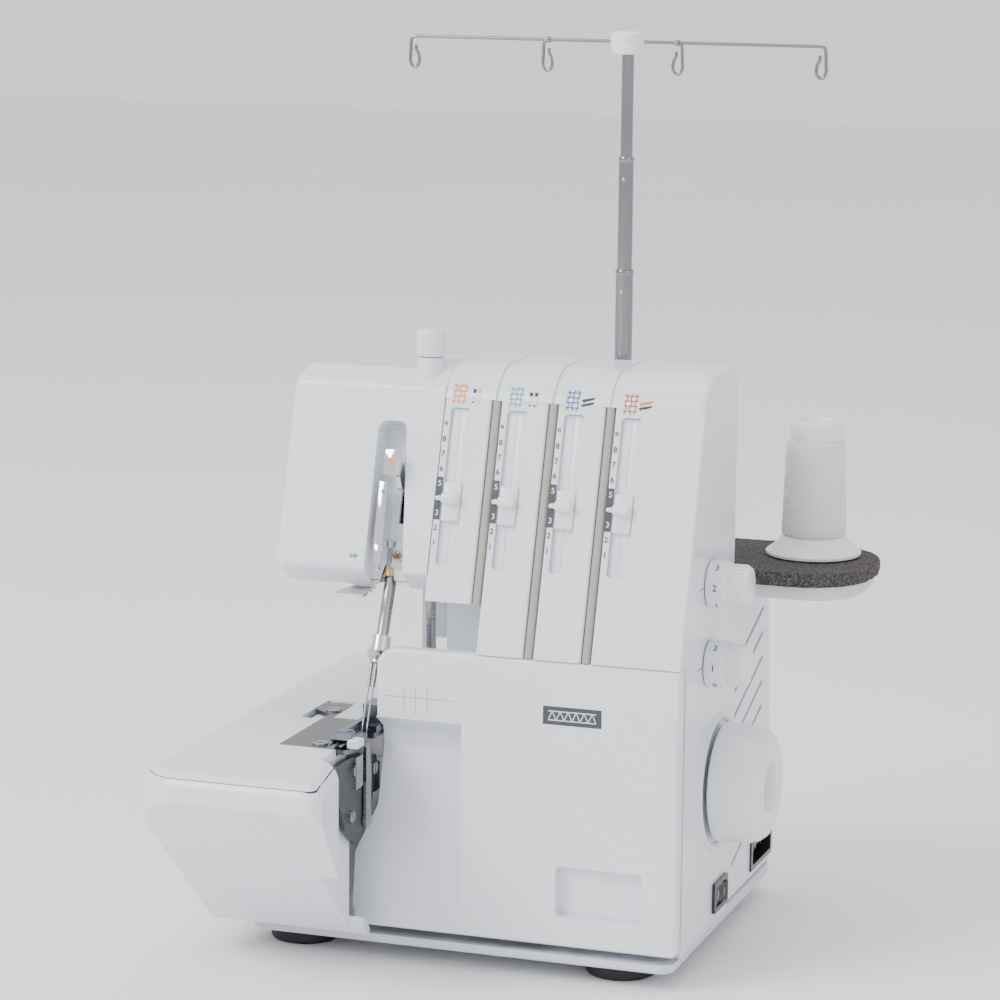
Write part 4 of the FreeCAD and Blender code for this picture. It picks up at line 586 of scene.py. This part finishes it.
# --- tension tower --------------------------------------------------------------------------------
@dataclass
class TensionTower:
    """Slot floors, number scales, pictograms and slider caps of the four tension units."""

    shop: Shop
    slot_offset: float = 8.5
    slot_low: float = 42.2
    slot_high: float = 119.4
    slot_depth: float = 2.7
    slider_up: float = 73.1
    figure_pitch: float = 7.23
    figure_low: float = 52.9
    roll_start: float = 121.2
    inks: tuple[tuple[str, str], ...] = (("ink_orange", "ink_yellow"), ("ink_teal", "ink_dark"),
                                         ("ink_blue", "ink_dark"), ("ink_red", "ink_orange"))

    def build(self) -> None:
        """Builds the four units."""
        for index, left in enumerate(PANEL_LEFTS):
            self.slot_floor(index, left)
            self.scale(index, left)
            self.pictogram(index, left)
            self.slider(index, left)

    def slot_floor(self, index: int, left: float) -> None:
        """The trough's floor: two soft lips that the slider's stem parts as it travels."""
        middle = (self.slot_low + self.slot_high) / 2
        rails = []
        for side in (-1, 1):
            spot = on_face(left + self.slot_offset + side * 2.54, self.slot_depth + 0.4, middle)
            rails.append(block((4.96, self.slot_high - self.slot_low - 0.3, 0.8), spot, FACE_TURN, 0.1))
        self.shop.piece(f"slot_rails_{index + 1}", join(*rails), "shell_white", "root", "shell_white")

    def scale(self, index: int, left: float) -> None:
        """Figures 1 to 9 left of the slot, with the usual range on a dark strip."""
        figures = []
        light_figures = []
        for value in range(1, 10):
            up = self.figure_low + (value - 1) * self.figure_pitch
            ink = lettering(str(value), 2.9, on_face(left + 1.7, -0.12, up), FACE_TURN)
            (light_figures if value in (3, 4, 5) else figures).append(ink)
        self.shop.piece(f"scale_figures_{index + 1}", join(*figures), "ink_dark", "root", "black_plastic")
        self.shop.piece(f"scale_figures_light_{index + 1}", join(*light_figures), "shell_white", "root")
        middle = self.figure_low + 3 * self.figure_pitch
        strip = bar_mark(3.3, self.figure_pitch * 2.9, on_face(left + 1.7, 0.0, middle), FACE_TURN)
        self.shop.piece(f"scale_strip_{index + 1}", strip, "ink_grey", "root", "black_plastic")

    def pictogram(self, index: int, left: float) -> None:
        """A small stitch grid and a needle or looper sign above the slot, wrapped on the roll."""
        first, second = self.inks[index]
        grid = [self.on_roll(bar_mark(7.2, 0.5, Vector(), Matrix()), left + 7.0, run) for run in (1.4, 4.0,
                                                                                                  6.6, 9.2)]
        for column in range(3):
            for step in range(4):
                lean_sign = 1 if (column + step) % 2 else -1
                turn = Matrix.Rotation(math.radians(20.0 * lean_sign), 4, "Z")
                stroke = bar_mark(0.55, 2.7, Vector(), turn)
                grid.append(self.on_roll(stroke, left + 4.6 + column * 2.4, 1.2 + step * 2.7))
        self.shop.piece(f"stitch_sign_{index + 1}", join(*grid), first, "root", "black_plastic")
        blades = []
        for step in range(2):
            outline = [(-0.8, -3.4), (0.2, -4.4), (0.8, -3.0), (0.8, 3.2), (-0.8, 3.2)]
            if index >= 2:
                outline = [(-3.2, -0.9), (-2.0, -1.6), (3.0, 0.2), (3.4, 1.3), (-2.6, -0.1)]
            mark = slab(outline, 0.07, Vector(), Matrix())
            shift = Vector((step * 2.6, 0.0, 0.0)) if index < 2 else Vector((0.0, step * 2.4 - 1.2, 0.0))
            bmesh.ops.translate(mark, vec=shift * MM, verts=mark.verts)
            blades.append(self.on_roll(mark, left + 14.4, 4.8))
        self.shop.piece(f"thread_sign_{index + 1}", join(blades[0]), "ink_dark", "root", "black_plastic")
        self.shop.piece(f"thread_sign_bright_{index + 1}", join(blades[1]), second, "root", "black_plastic")

    def on_roll(self, mesh: bmesh.types.BMesh, x: float, run: float) -> bmesh.types.BMesh:
        """Lays a flat mark on the rounded edge above the panels.

        Args:
            mesh: the mark, drawn flat round the origin.
            x: where its middle goes, millimetres from the tower's right side.
            run: how far its middle lies past the panel's flat, in millimetres along the surface.

        Returns:
            The same mesh, bent and in place.
        """
        for vert in mesh.verts:
            along = run + vert.co.y / MM
            angle = max(along, 0.0) / ROLL_RADIUS
            depth = ROLL_RADIUS * (1.0 - math.cos(angle)) - 0.08 - vert.co.z / MM
            up = self.roll_start + (ROLL_RADIUS * math.sin(angle) if along > 0 else along)
            vert.co = on_face(x + vert.co.x / MM, depth, up)
        return mesh

    def slider(self, index: int, left: float) -> None:
        """A slider cap with a ledge for the fingertip and a pointer towards the figures."""
        x = left + self.slot_offset
        body = block((9.4, 19.0, 2.9), on_face(x, 2.2, self.slider_up), FACE_TURN, 1.1, 4)
        ledge = block((9.4, 5.6, 6.0), on_face(x, 1.0, self.slider_up + 1.4), FACE_TURN, 2.2, 5)
        nub = block((5.0, 2.2, 1.8), on_face(x - 5.4, -0.3, self.slider_up + 1.4), FACE_TURN, 0.75, 3)
        steps = [block((7.0, 0.7, 0.5), on_face(x, -0.55, self.slider_up - 6.6 + row * 1.5), FACE_TURN,
                       0.2, 2)
                 for row in range(3)]
        name = f"tension_slider_{index + 1}"
        cap = self.shop.piece(f"slider_cap_{index + 1}", join(body, ledge, nub, *steps), "control_white",
                              name,
                              "control_white")
        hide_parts(name)


# --- side controls --------------------------------------------------------------------------------
@dataclass
class SideControls:
    """Handwheel, the two adjusting knobs with their marks, and the rocker's ring."""

    shop: Shop
    shaft: tuple[float, float] = (69.7, 89.0)
    wheel_radius: float = 29.7
    hub_radius: float = 12.0
    knob_y: float = 49.3
    knob_radius: float = 11.5

    def build(self) -> None:
        """Builds all the side controls."""
        self.handwheel()
        self.wheel_ring()
        for name, z, words in (("stitch_length_knob", 192.3, ("3", "2", "1")),
                               ("differential_feed_knob", 153.0, ("2", "1", "0"))):
            self.knob(name, z, words)
        self.rocker_ring()

    def handwheel(self) -> None:
        """A smooth flared wheel with a deep round hub."""
        rim = self.wheel_radius
        profile = [(5.2, 2.6), (rim - 1.2, 2.6), (rim - 0.3, 3.2), (rim, 4.6), (rim - 0.1, 12.0),
                   (rim - 0.9, 19.0),
                   (rim - 2.2, 23.6), (rim - 4.4, 26.4), (rim - 7.6, 27.7), (rim - 12.0, 28.0),
                   (self.hub_radius + 2.6, 27.7),
                   (self.hub_radius + 0.9, 26.9), (self.hub_radius, 25.2), (self.hub_radius - 0.6, 17.0),
                   (self.hub_radius - 1.8, 16.2), (7.0, 16.0), (5.2, 16.0), (5.2, 2.6)]
        mesh = lathe(profile, DATUM.at(0.0, *self.shaft), SIDE_TURN, 96)
        wheel = self.shop.piece("handwheel_body", mesh, "control_white", "handwheel", "control_white", 28)
        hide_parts("handwheel")
        cap = lathe([(0.001, 16.6), (5.6, 16.6), (6.1, 16.2), (6.1, 15.4), (0.001, 15.4)],
                    DATUM.at(0.0, *self.shaft),
                    SIDE_TURN, 48)
        self.shop.piece("handwheel_cap", cap, "control_white", "handwheel", "control_white")

    def wheel_ring(self) -> None:
        """The raised ring on the side wall round the wheel."""
        profile = [(30.9, 0.02), (34.2, 0.02), (33.8, 1.1), (32.9, 1.7), (31.9, 1.5), (30.9, 0.7),
                   (30.9, 0.02)]
        ring = lathe(profile, DATUM.at(0.0, *self.shaft), SIDE_TURN, 96)
        self.shop.piece("wheel_ring", ring, "side_white", "root", "side_white")

    def knob(self, name: str, z: float, words: tuple[str, str, str]) -> None:
        """A fluted knob with figures round its rim, and index ticks on the wall.

        Args:
            name: the drawn node that the knob stands for.
            z: the height of its axis in millimetres.
            words: three figures, from the top down.
        """
        radius = self.knob_radius
        base = DATUM.at(0.6, self.knob_y, z)
        profile = [(0.001, 0.0), (radius, 0.0), (radius + 0.2, 0.6), (radius, 8.6), (radius - 0.7, 9.4),
                   (radius - 1.4, 9.7), (radius - 1.7, 18.2), (radius - 2.4, 19.5), (radius - 4.0, 20.0),
                   (0.001, 20.0)]
        body = lathe(profile, base, SIDE_TURN, 72)
        ribs = []
        for step in range(22):
            turn = Matrix.Rotation(math.tau * step / 22, 4, "X")
            arm = turn @ Vector((0.0135, (radius - 1.9) * MM, 0.0))
            facing = frame_axes(turn @ Vector((0.0, 1.0, 0.0)), Vector((1.0, 0.0, 0.0)))
            ribs.append(block((1.3, 8.4, 0.8), base + arm, facing, 0.3, 2))
        stem = lathe([(0.001, -8.4), (3.9, -8.4), (3.9, 0.1), (0.001, 0.1)], base, SIDE_TURN, 32)
        knob = self.shop.piece(name + "_body", join(body, stem, *ribs), "control_white", name,
                               "control_white", 30)
        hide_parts(name)
        figures = []
        for figure, angle in zip(words, (52.0, 0.0, -52.0)):
            lean_back = math.radians(angle)
            out = Vector((0.0, -math.cos(lean_back), math.sin(lean_back)))
            spot = base + out * ((radius + 0.14) * MM) + Vector((4.6 * MM, 0.0, 0.0))
            turn = frame_axes(out, Vector((0.0, math.sin(lean_back), math.cos(lean_back))))
            figures.append(lettering(figure, 3.4, spot, turn))
        self.shop.piece(name + "_figures", join(*figures), "ink_dark", name, "black_plastic")
        tick = bar_mark(7.0, 0.5, DATUM.at(0.03, self.knob_y - 16.0, z), SIDE_TURN)
        self.shop.piece(name + "_tick", tick, "ink_dark", "root", "black_plastic")

    def rocker_ring(self) -> None:
        """The white off ring printed on the power rocker."""
        ring = lathe([(1.7, 0.0), (2.3, 0.0), (2.3, 0.12), (1.7, 0.12), (1.7, 0.0)],
                     DATUM.at(0.55, 73.2, 29.5), SIDE_TURN, 32)
        bar = bar_mark(0.6, 4.0, DATUM.at(1.85, 81.0, 29.5), SIDE_TURN)
        self.shop.piece("rocker_marks", join(ring, bar), "shell_white", "power_rocker", "shell_white")


# --- thread stand ---------------------------------------------------------------------------------
@dataclass
class ThreadStand:
    """Foam mat, thread cone, pole clicks, guide hub and the bent guide wires."""

    shop: Shop
    pin: tuple[float, float] = (28.3, 141.4)
    pole: tuple[float, float] = (-63.0, 106.0)
    mat_top: float = 192.0
    hub_low: float = 442.0
    wire_z: float = 448.0
    ends: tuple[float, ...] = (-112.0, -42.0, 26.0, 98.0)

    def build(self) -> None:
        """Builds everything of the stand."""
        self.mat()
        self.cone()
        self.pole_clicks()
        self.hub()
        self.wires()

    def mat(self) -> None:
        """The foam mat, remeshed from its drawn slab so that its skin can be open-celled."""
        drawn = frame["nodes"]["spool_mat"]
        mesh = bmesh.new()
        mesh.from_mesh(drawn.data)
        bmesh.ops.remove_doubles(mesh, verts=mesh.verts, dist=1e-6)
        made = self.shop.piece("foam_spool_mat", mesh, "foam_mat", "root", "foam_mat", 60)
        remesh = made.modifiers.new("cells", "REMESH")
        remesh.mode = "VOXEL"
        remesh.voxel_size = 0.0013
        remesh.use_smooth_shade = True
        soften = made.modifiers.new("soften", "SMOOTH")
        soften.iterations = 3
        texture = bpy.data.textures.new("foam_lumps", "CLOUDS")
        texture.noise_scale = 0.0028
        lumps = made.modifiers.new("lumps", "DISPLACE")
        lumps.texture = texture
        lumps.texture_coords = "LOCAL"
        lumps.strength = 0.0007
        lumps.mid_level = 0.75
        bpy.context.view_layer.update()
        evaluated = made.evaluated_get(bpy.context.evaluated_depsgraph_get())
        final = bpy.data.meshes.new_from_object(evaluated)
        made.modifiers.clear()
        made.data = final
        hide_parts("spool_mat")

    def cone(self) -> None:
        """A flanged plastic cone with wound thread between flange and nose."""
        base = DATUM.at(self.pin[0], self.pin[1], self.mat_top + 0.3)
        flange = [(2.7, 0.0), (23.2, 0.0), (24.0, 0.5), (24.0, 1.7), (23.0, 2.6), (20.2, 4.6), (17.6, 7.4),
                  (15.9, 9.6),
                  (14.6, 10.2), (12.6, 58.0), (12.9, 58.8), (13.3, 59.6), (13.3, 66.6), (12.7, 67.9),
                  (11.4, 68.3),
                  (9.2, 68.3), (8.6, 67.0), (8.4, 63.0), (2.7, 63.0), (2.7, 0.0)]
        core = lathe(flange, base, TOP_TURN, 72)
        made = self.shop.piece("cone_core", core, "hub_clear", "thread_cone", "hub_clear", 30)
        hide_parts("thread_cone")
        wound = [(14.4, 10.0), (15.9, 10.6), (16.3, 12.0)]
        for step in range(1, 12):
            share = step / 12
            wound.append((16.3 - 1.4 * share + 0.12 * math.sin(step * 2.1), 12.0 + 44.0 * share))
        wound += [(14.7, 56.6), (13.9, 58.0), (12.4, 58.4), (12.4, 10.0), (14.4, 10.0)]
        thread = lathe(wound, base, TOP_TURN, 96)
        self.shop.piece("wound_thread", thread, "thread", "thread_cone", "thread", 40)

    def pole_clicks(self) -> None:
        """The spring clicks and crimped rings where the pole's tubes lock."""
        x, y = self.pole
        for name, body, radius, z in (("lower", "root", 4.35, 335.6),
                                      ("middle", "pole_middle", 3.67, 391.6)):
            ring = lathe([(radius - 0.3, -2.4), (radius + 0.05, -2.4), (radius + 0.3, -1.9),
                          (radius + 0.3, -0.6),
                          (radius, 0.1), (radius - 0.55, 0.2), (radius - 0.55, -2.4)], DATUM.at(x, y, z),
                         TOP_TURN, 48)
            self.shop.piece(f"pole_ring_{name}", ring, "pole_chrome", body, "pole_grey")
            dimple = lathe([(0.001, 0.0), (1.1, 0.0), (1.0, 0.35), (0.55, 0.65), (0.001, 0.75)],
                           DATUM.at(x, y - radius + 0.15, z - 11.0), FRONT_TURN, 24)
            self.shop.piece(f"pole_click_{name}", dimple, "steel", body, "steel")

    def hub(self) -> None:
        """The moulded hub that holds both wires, with a clamp lug on each side."""
        x, y = self.pole
        profile = [(3.1, 0.0), (7.4, 0.0), (8.1, 0.6), (8.2, 4.2), (7.6, 4.8), (7.6, 6.2), (8.2, 6.8),
                   (8.2, 10.2),
                   (7.4, 10.9), (4.0, 11.0), (0.001, 11.0), (0.001, 6.6), (3.1, 6.6), (3.1, 0.0)]
        body = lathe(profile, DATUM.at(x, y, self.hub_low), TOP_TURN, 64)
        lugs = [block((4.2, 5.6, 6.4), DATUM.at(x + side * 6.4, y, self.hub_low + 2.6), TOP_TURN, 1.0, 3)
                for side in (-1, 1)]
        made = self.shop.piece("guide_hub_body", join(body, *lugs), "hub_clear", "thread_guide_bar",
                               "hub_clear", 30)
        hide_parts("guide_hub")

    def wires(self) -> None:
        """Two bars with four pigtail eyelets bent from wire."""
        x, y = self.pole
        parts = []
        for side, ends in ((-1, self.ends[:2]), (1, self.ends[2:])):
            far = max(ends, key=abs)
            near = min(ends, key=abs)
            start = DATUM.at(x + side * 7.4, y, self.wire_z)
            parts.append(drawn_tube([start, *self.pigtail(x + far, y, side)], 0.85))
            loop = self.pigtail(x + near, y, side)
            parts.append(drawn_tube(loop, 0.8))
            collar = lathe([(0.9, -1.3), (1.5, -1.1), (1.6, 0.0), (1.5, 1.1), (0.9, 1.3)],
                           DATUM.at(x + near - side * 0.8, y, self.wire_z), SIDE_TURN, 24)
            parts.append(collar)
        made = self.shop.piece("guide_wire_bars", join(*parts), "pole_chrome", "thread_guide_bar",
                               "chrome", 50)
        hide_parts("guide_wires")

    def pigtail(self, x: float, y: float, side: int) -> list[Vector]:
        """The hanging open loop that thread slips into, ending beside its own wire."""
        z = self.wire_z
        route = [(x - side * 3.2, 0.0), (x - side * 0.6, 0.1), (x + side * 1.2, -0.8),
                 (x + side * 1.6, -3.4),
                 (x + side * 1.7, -8.0), (x + side * 2.1, -12.4), (x + side * 0.6, -15.4),
                 (x - side * 2.0, -15.0),
                 (x - side * 3.2, -12.2), (x - side * 2.6, -8.6), (x - side * 1.0, -6.2),
                 (x - side * 1.4, -4.2)]
        return [DATUM.at(px, y - 0.35 * index / len(route), z + pz) for index, (px, pz) in enumerate(route)]


# --- head -----------------------------------------------------------------------------------------
@dataclass
class HeadFittings:
    """Pressure knob, thread path dots, the recess screw, the column beside the recess, the presser toe and
    the take-up lever's cap.
    """

    shop: Shop
    knob: tuple[float, float] = (-143.5, 47.5)
    knob_low: float = 295.6
    head_right: float = -131.5
    shoulder_left: float = -150.6
    shoulder_sink: float = 0.3

    def build(self) -> None:
        """Builds all the fittings."""
        self.pressure_knob()
        self.dots()
        self.screw()
        self.column()
        self.foot_toe()
        self.lever_cap()

    def pressure_knob(self) -> None:
        """The ribbed cap on the pressure screw, standing in a collar."""
        base = DATUM.at(*self.knob, self.knob_low)
        profile = [(0.001, -30.0), (4.6, -30.0), (4.6, 0.2), (6.7, 0.3), (7.0, 0.9), (7.0, 12.2),
                   (6.4, 13.2), (5.2, 13.5),
                   (0.001, 13.5)]
        body = lathe(profile, base, TOP_TURN, 64)
        ribs = []
        for step in range(24):
            turn = Matrix.Rotation(math.tau * step / 24, 4, "Z")
            out = turn @ Vector((1.0, 0.0, 0.0))
            facing = frame_axes(out, Vector((0.0, 0.0, 1.0)))
            ribs.append(block((0.8, 10.2, 0.35), base + out * (6.85 * MM) + Vector((0, 0, 6.0 * MM)),
                              facing, 0.12, 1))
        made = self.shop.piece("pressure_knob_body", join(body, *ribs), "control_white", "pressure_knob",
                               "control_white")
        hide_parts("pressure_knob")

    def dots(self) -> None:
        """The round colour dots that mark the thread path."""
        for name, ink, x, up, depth in (("path_dot_orange", "ink_orange", -171.6, 43.4, 0.0),
                                        ("path_dot_teal", "ink_teal", -169.4, 43.4, 0.0),
                                        ("guide_dot_teal", "ink_teal", -159.2, 76.0, 1.6)):
            dot = lathe([(0.001, 0.0), (1.1, 0.0), (1.05, 0.12), (0.001, 0.14)], on_face(x, depth, up),
                        FACE_TURN, 24)
            self.shop.piece(name, dot, ink, "root", "black_plastic")

    def screw(self) -> None:
        """The cross-head screw in the recess."""
        base = on_face(self.head_right - 20.2, 12.0, 46.0)
        head = lathe([(0.001, 1.5), (1.6, 1.45), (2.6, 1.1), (3.1, 0.4), (3.1, 0.0), (0.001, 0.0)], base,
                     FACE_TURN, 32)
        self.shop.piece("recess_screw_head", head, "bronze_screw", "root", "steel", 40)
        bars = [block((3.4, 0.7, 0.2), on_face(self.head_right - 20.2, 10.6, 46.0),
                      FACE_TURN @ Matrix.Rotation(turn, 4, "Z"), 0.06, 1) for turn in (0.6,
                                                                                       0.6 + math.pi / 2)]
        self.shop.piece("recess_screw_cross", join(*bars), "ink_dark", "root", "black_plastic")

    def column(self) -> None:
        """The raised shoulder between head and tower that the pressure screw comes out of."""
        outline = [(34.4, 262.0)]
        for step in range(9):
            angle = LEAN + (math.pi / 2 - LEAN) * step / 8
            outline.append((ROLL_Y - ROLL_RADIUS * math.cos(angle) + self.shoulder_sink,
                            ROLL_Z + ROLL_RADIUS * math.sin(angle) - self.shoulder_sink))
        outline += [(88.0, 292.7), (88.0, 262.0)]
        width = self.head_right - self.shoulder_left - 0.3
        mesh = slab(outline, width, DATUM.at(self.shoulder_left, 0.0, 0.0), SIDE_TURN, 1.2, 3)
        self.shop.piece("head_shoulder", mesh, "shell_white", "root", "shell_white")
        sleeve = lathe([(5.3, -14.0), (7.0, -14.0), (6.9, -0.9), (6.4, -0.4), (5.3, -0.4), (5.3, -14.0)],
                       DATUM.at(*self.knob, self.knob_low), TOP_TURN, 64)
        self.shop.piece("pressure_sleeve", sleeve, "shell_white", "root", "shell_white")

    def foot_toe(self) -> None:
        """The rounded toe and the two tapered fingers of the presser foot."""
        toe = block((9.0, 10.0, 5.0), DATUM.at(-159.6, -26.0, 117.6), TOP_TURN, 2.2, 6)
        fingers = [slab([(-0.8, 0.0), (0.8, 0.0), (0.5, -9.0), (-0.5, -9.0)], 0.9,
                        DATUM.at(x, -30.6, 117.4), TOP_TURN,
                        0.25, 2) for x in (-162.4, -159.6, -156.8)]
        self.shop.piece("presser_toe", join(toe, *fingers), "foot_steel", "presser_bar", "foot_steel")

    def lever_cap(self) -> None:
        """The bright guard and orange dot on the take-up lever's end."""
        x = self.head_right - 21.6
        guard = slab([(-3.6, -6.0), (2.9, -6.0), (3.3, 5.4), (2.4, 6.6), (-2.8, 6.4), (-3.6, 5.4)], 1.1,
                     on_face(x, -7.4, 89.5),
                     FACE_TURN, 0.3, 2)
        self.shop.piece("take_up_guard", guard, "chrome", "take_up_lever", "chrome")
        dot = lathe([(0.001, 0.0), (1.3, 0.0), (1.25, 0.12), (0.001, 0.14)], on_face(x, -8.5, 90.5),
                    FACE_TURN, 24)
        self.shop.piece("take_up_dot", dot, "ink_orange", "take_up_lever", "black_plastic")
        front = slab([(-2.3, -15.0), (2.3, -15.0), (2.3, 15.0), (-2.3, 15.6)], 0.9,
                     on_face(-159.3, 2.6, 65.6), FACE_TURN,
                     0.25, 2)
        self.shop.piece("thread_channel_front", front, "chrome", "root", "chrome")
        tongue = slab([(-2.6, 5.0), (2.4, 5.0), (2.0, -3.0), (0.4, -7.0), (-2.6, -1.0)], 0.8,
                      on_face(-159.6, 4.6, 45.5),
                      FACE_TURN, 0.2, 2)
        self.shop.piece("thread_channel_tongue", tongue, "chrome", "root", "chrome")


# --- looper cover ---------------------------------------------------------------------------------
@dataclass
class CoverMarks:
    """The raised guide lines and the stitch badge on the looper cover."""

    shop: Shop
    badge: tuple[float, float] = (-53.3, 132.5)
    line_z: float = 131.0

    def build(self) -> None:
        """Builds the marks."""
        self.stitch_badge()
        self.guide_lines()

    def stitch_badge(self) -> None:
        """A dark badge with a row of overlock stitches in white."""
        x, z = self.badge
        plate = block((29.4, 9.0, 0.18), DATUM.at(x, 0.0, z), FRONT_TURN, 0.08, 1)
        self.shop.piece("stitch_badge", plate, "ink_grey", "looper_cover", "black_plastic")
        lines = [bar_mark(24.0, 0.5, DATUM.at(x, -0.17, z + shift), FRONT_TURN) for shift in (-2.2, 2.2)]
        for step in range(12):
            lean_sign = 1 if step % 2 else -1
            turn = FRONT_TURN @ Matrix.Rotation(math.radians(24.0 * lean_sign), 4, "Z")
            lines.append(bar_mark(0.45, 4.6, DATUM.at(x - 11.0 + step * 2.0, -0.17, z), turn))
        self.shop.piece("stitch_badge_lines", join(*lines), "shell_white", "looper_cover", "shell_white")

    def guide_lines(self) -> None:
        """Faint moulded cutting guides beside the scoop, drawn in mid grey as painted shade of the moulded
        relief.
        """
        lines = []
        for x, low, high in ((-139.0, 108.0, 140.0), (-133.0, 104.0, 140.0), (-127.0, 100.0, 140.0)):
            lines.append(bar_mark(0.5, high - 126.5, DATUM.at(x, 0.02, (high + 126.5) / 2), FRONT_TURN))
        lines.append(bar_mark(36.0, 0.5, DATUM.at(-131.0, 0.02, self.line_z + 4.0), FRONT_TURN))
        # Painted shade: the moulded lines are coloured mid grey to stand in for the shade of their relief.
        self.shop.piece("cutting_guides", join(*lines), "recess_grey", "looper_cover", "shell_white")


# --- studio ---------------------------------------------------------------------------------------
@dataclass
class Studio:
    """Floor, soft lights and the camera."""

    azimuth: float = 18.571
    elevation: float = 10.224
    roll: float = 0.646
    distance: float = 1.65115
    aim: Point = (-0.00347, -0.01595, 0.23071)
    lens: float = 123.15
    shift: tuple[float, float] = (-0.0195, 0.0004)

    def build(self) -> None:
        """Builds the stage."""
        self.floor()
        self.lights()
        self.camera()

    def floor(self) -> None:
        """A wide pale sheet under the machine."""
        nodes = Nodes("studio_floor")
        nodes.link(nodes.ramp(nodes.noise(3.0, 2.0), 0.2, 0.8, (0.90, 0.90, 0.905), (0.92, 0.92, 0.925)),
                   "Base Color")
        nodes.shader.inputs["Roughness"].default_value = 0.8
        mesh = bmesh.new()
        bmesh.ops.create_grid(mesh, x_segments=2, y_segments=2, size=6.0)
        data = bpy.data.meshes.new("studio_floor")
        mesh.to_mesh(data)
        mesh.free()
        data.materials.append(nodes.material)
        floor = bpy.data.objects.new("studio_floor", data)
        bpy.context.scene.collection.objects.link(floor)

    def lights(self) -> None:
        """A white surround with a broad key from the upper left and a weaker fill."""
        world = bpy.data.worlds.new("surround")
        world.use_nodes = True
        background = world.node_tree.nodes["Background"]
        background.inputs["Color"].default_value = (0.97, 0.98, 1.0, 1.0)
        background.inputs["Strength"].default_value = 1.15
        bpy.context.scene.world = world
        for name, place, size, power in (("key", (-1.5, -1.6, 1.9), 1.3, 62.0),
                                         ("fill", (1.9, -1.3, 1.0), 1.2, 4.0),
                                         ("top", (0.2, 0.2, 2.4), 1.6, 14.0)):
            light = bpy.data.lights.new(name, "AREA")
            light.size = size
            light.energy = power
            lamp = bpy.data.objects.new(name, light)
            lamp.location = place
            aim = Vector(self.aim) - Vector(place)
            lamp.rotation_euler = aim.to_track_quat("-Z", "Y").to_euler()
            bpy.context.scene.collection.objects.link(lamp)

    def camera(self) -> None:
        """A long-lens camera at the usual front-right catalogue angle."""
        turn, rise, roll = (math.radians(value) for value in (self.azimuth, self.elevation, self.roll))
        back = Vector((math.sin(turn) * math.cos(rise), -math.cos(turn) * math.cos(rise), math.sin(rise)))
        right = Vector((math.cos(turn), math.sin(turn), 0.0))
        up = back.cross(right)
        rolled_right = right * math.cos(roll) + up * math.sin(roll)
        rolled_up = up * math.cos(roll) - right * math.sin(roll)
        matrix = Matrix((rolled_right, rolled_up, back)).transposed().to_4x4()
        matrix.translation = Vector(self.aim) + back * self.distance
        data = bpy.data.cameras.new("catalogue")
        data.lens = self.lens
        data.sensor_width = 36.0
        data.shift_x, data.shift_y = self.shift
        data.clip_end = 50.0
        camera = bpy.data.objects.new("catalogue", data)
        camera.matrix_world = matrix
        bpy.context.scene.collection.objects.link(camera)
        bpy.context.scene.camera = camera


def main() -> None:
    """Builds the machine's looks in order."""
    logging.basicConfig(level=logging.INFO, format="%(name)s: %(message)s")
    finishes = Finishes()
    shop = Shop(finishes)
    CarriedNodes(finishes).dress()
    for part in (TensionTower(shop), SideControls(shop), ThreadStand(shop), HeadFittings(shop),
                 CoverMarks(shop)):
        part.build()
    Studio().build()
    log.info("%d pieces made", len(shop.made))


if __name__ == "__main__":
    main()
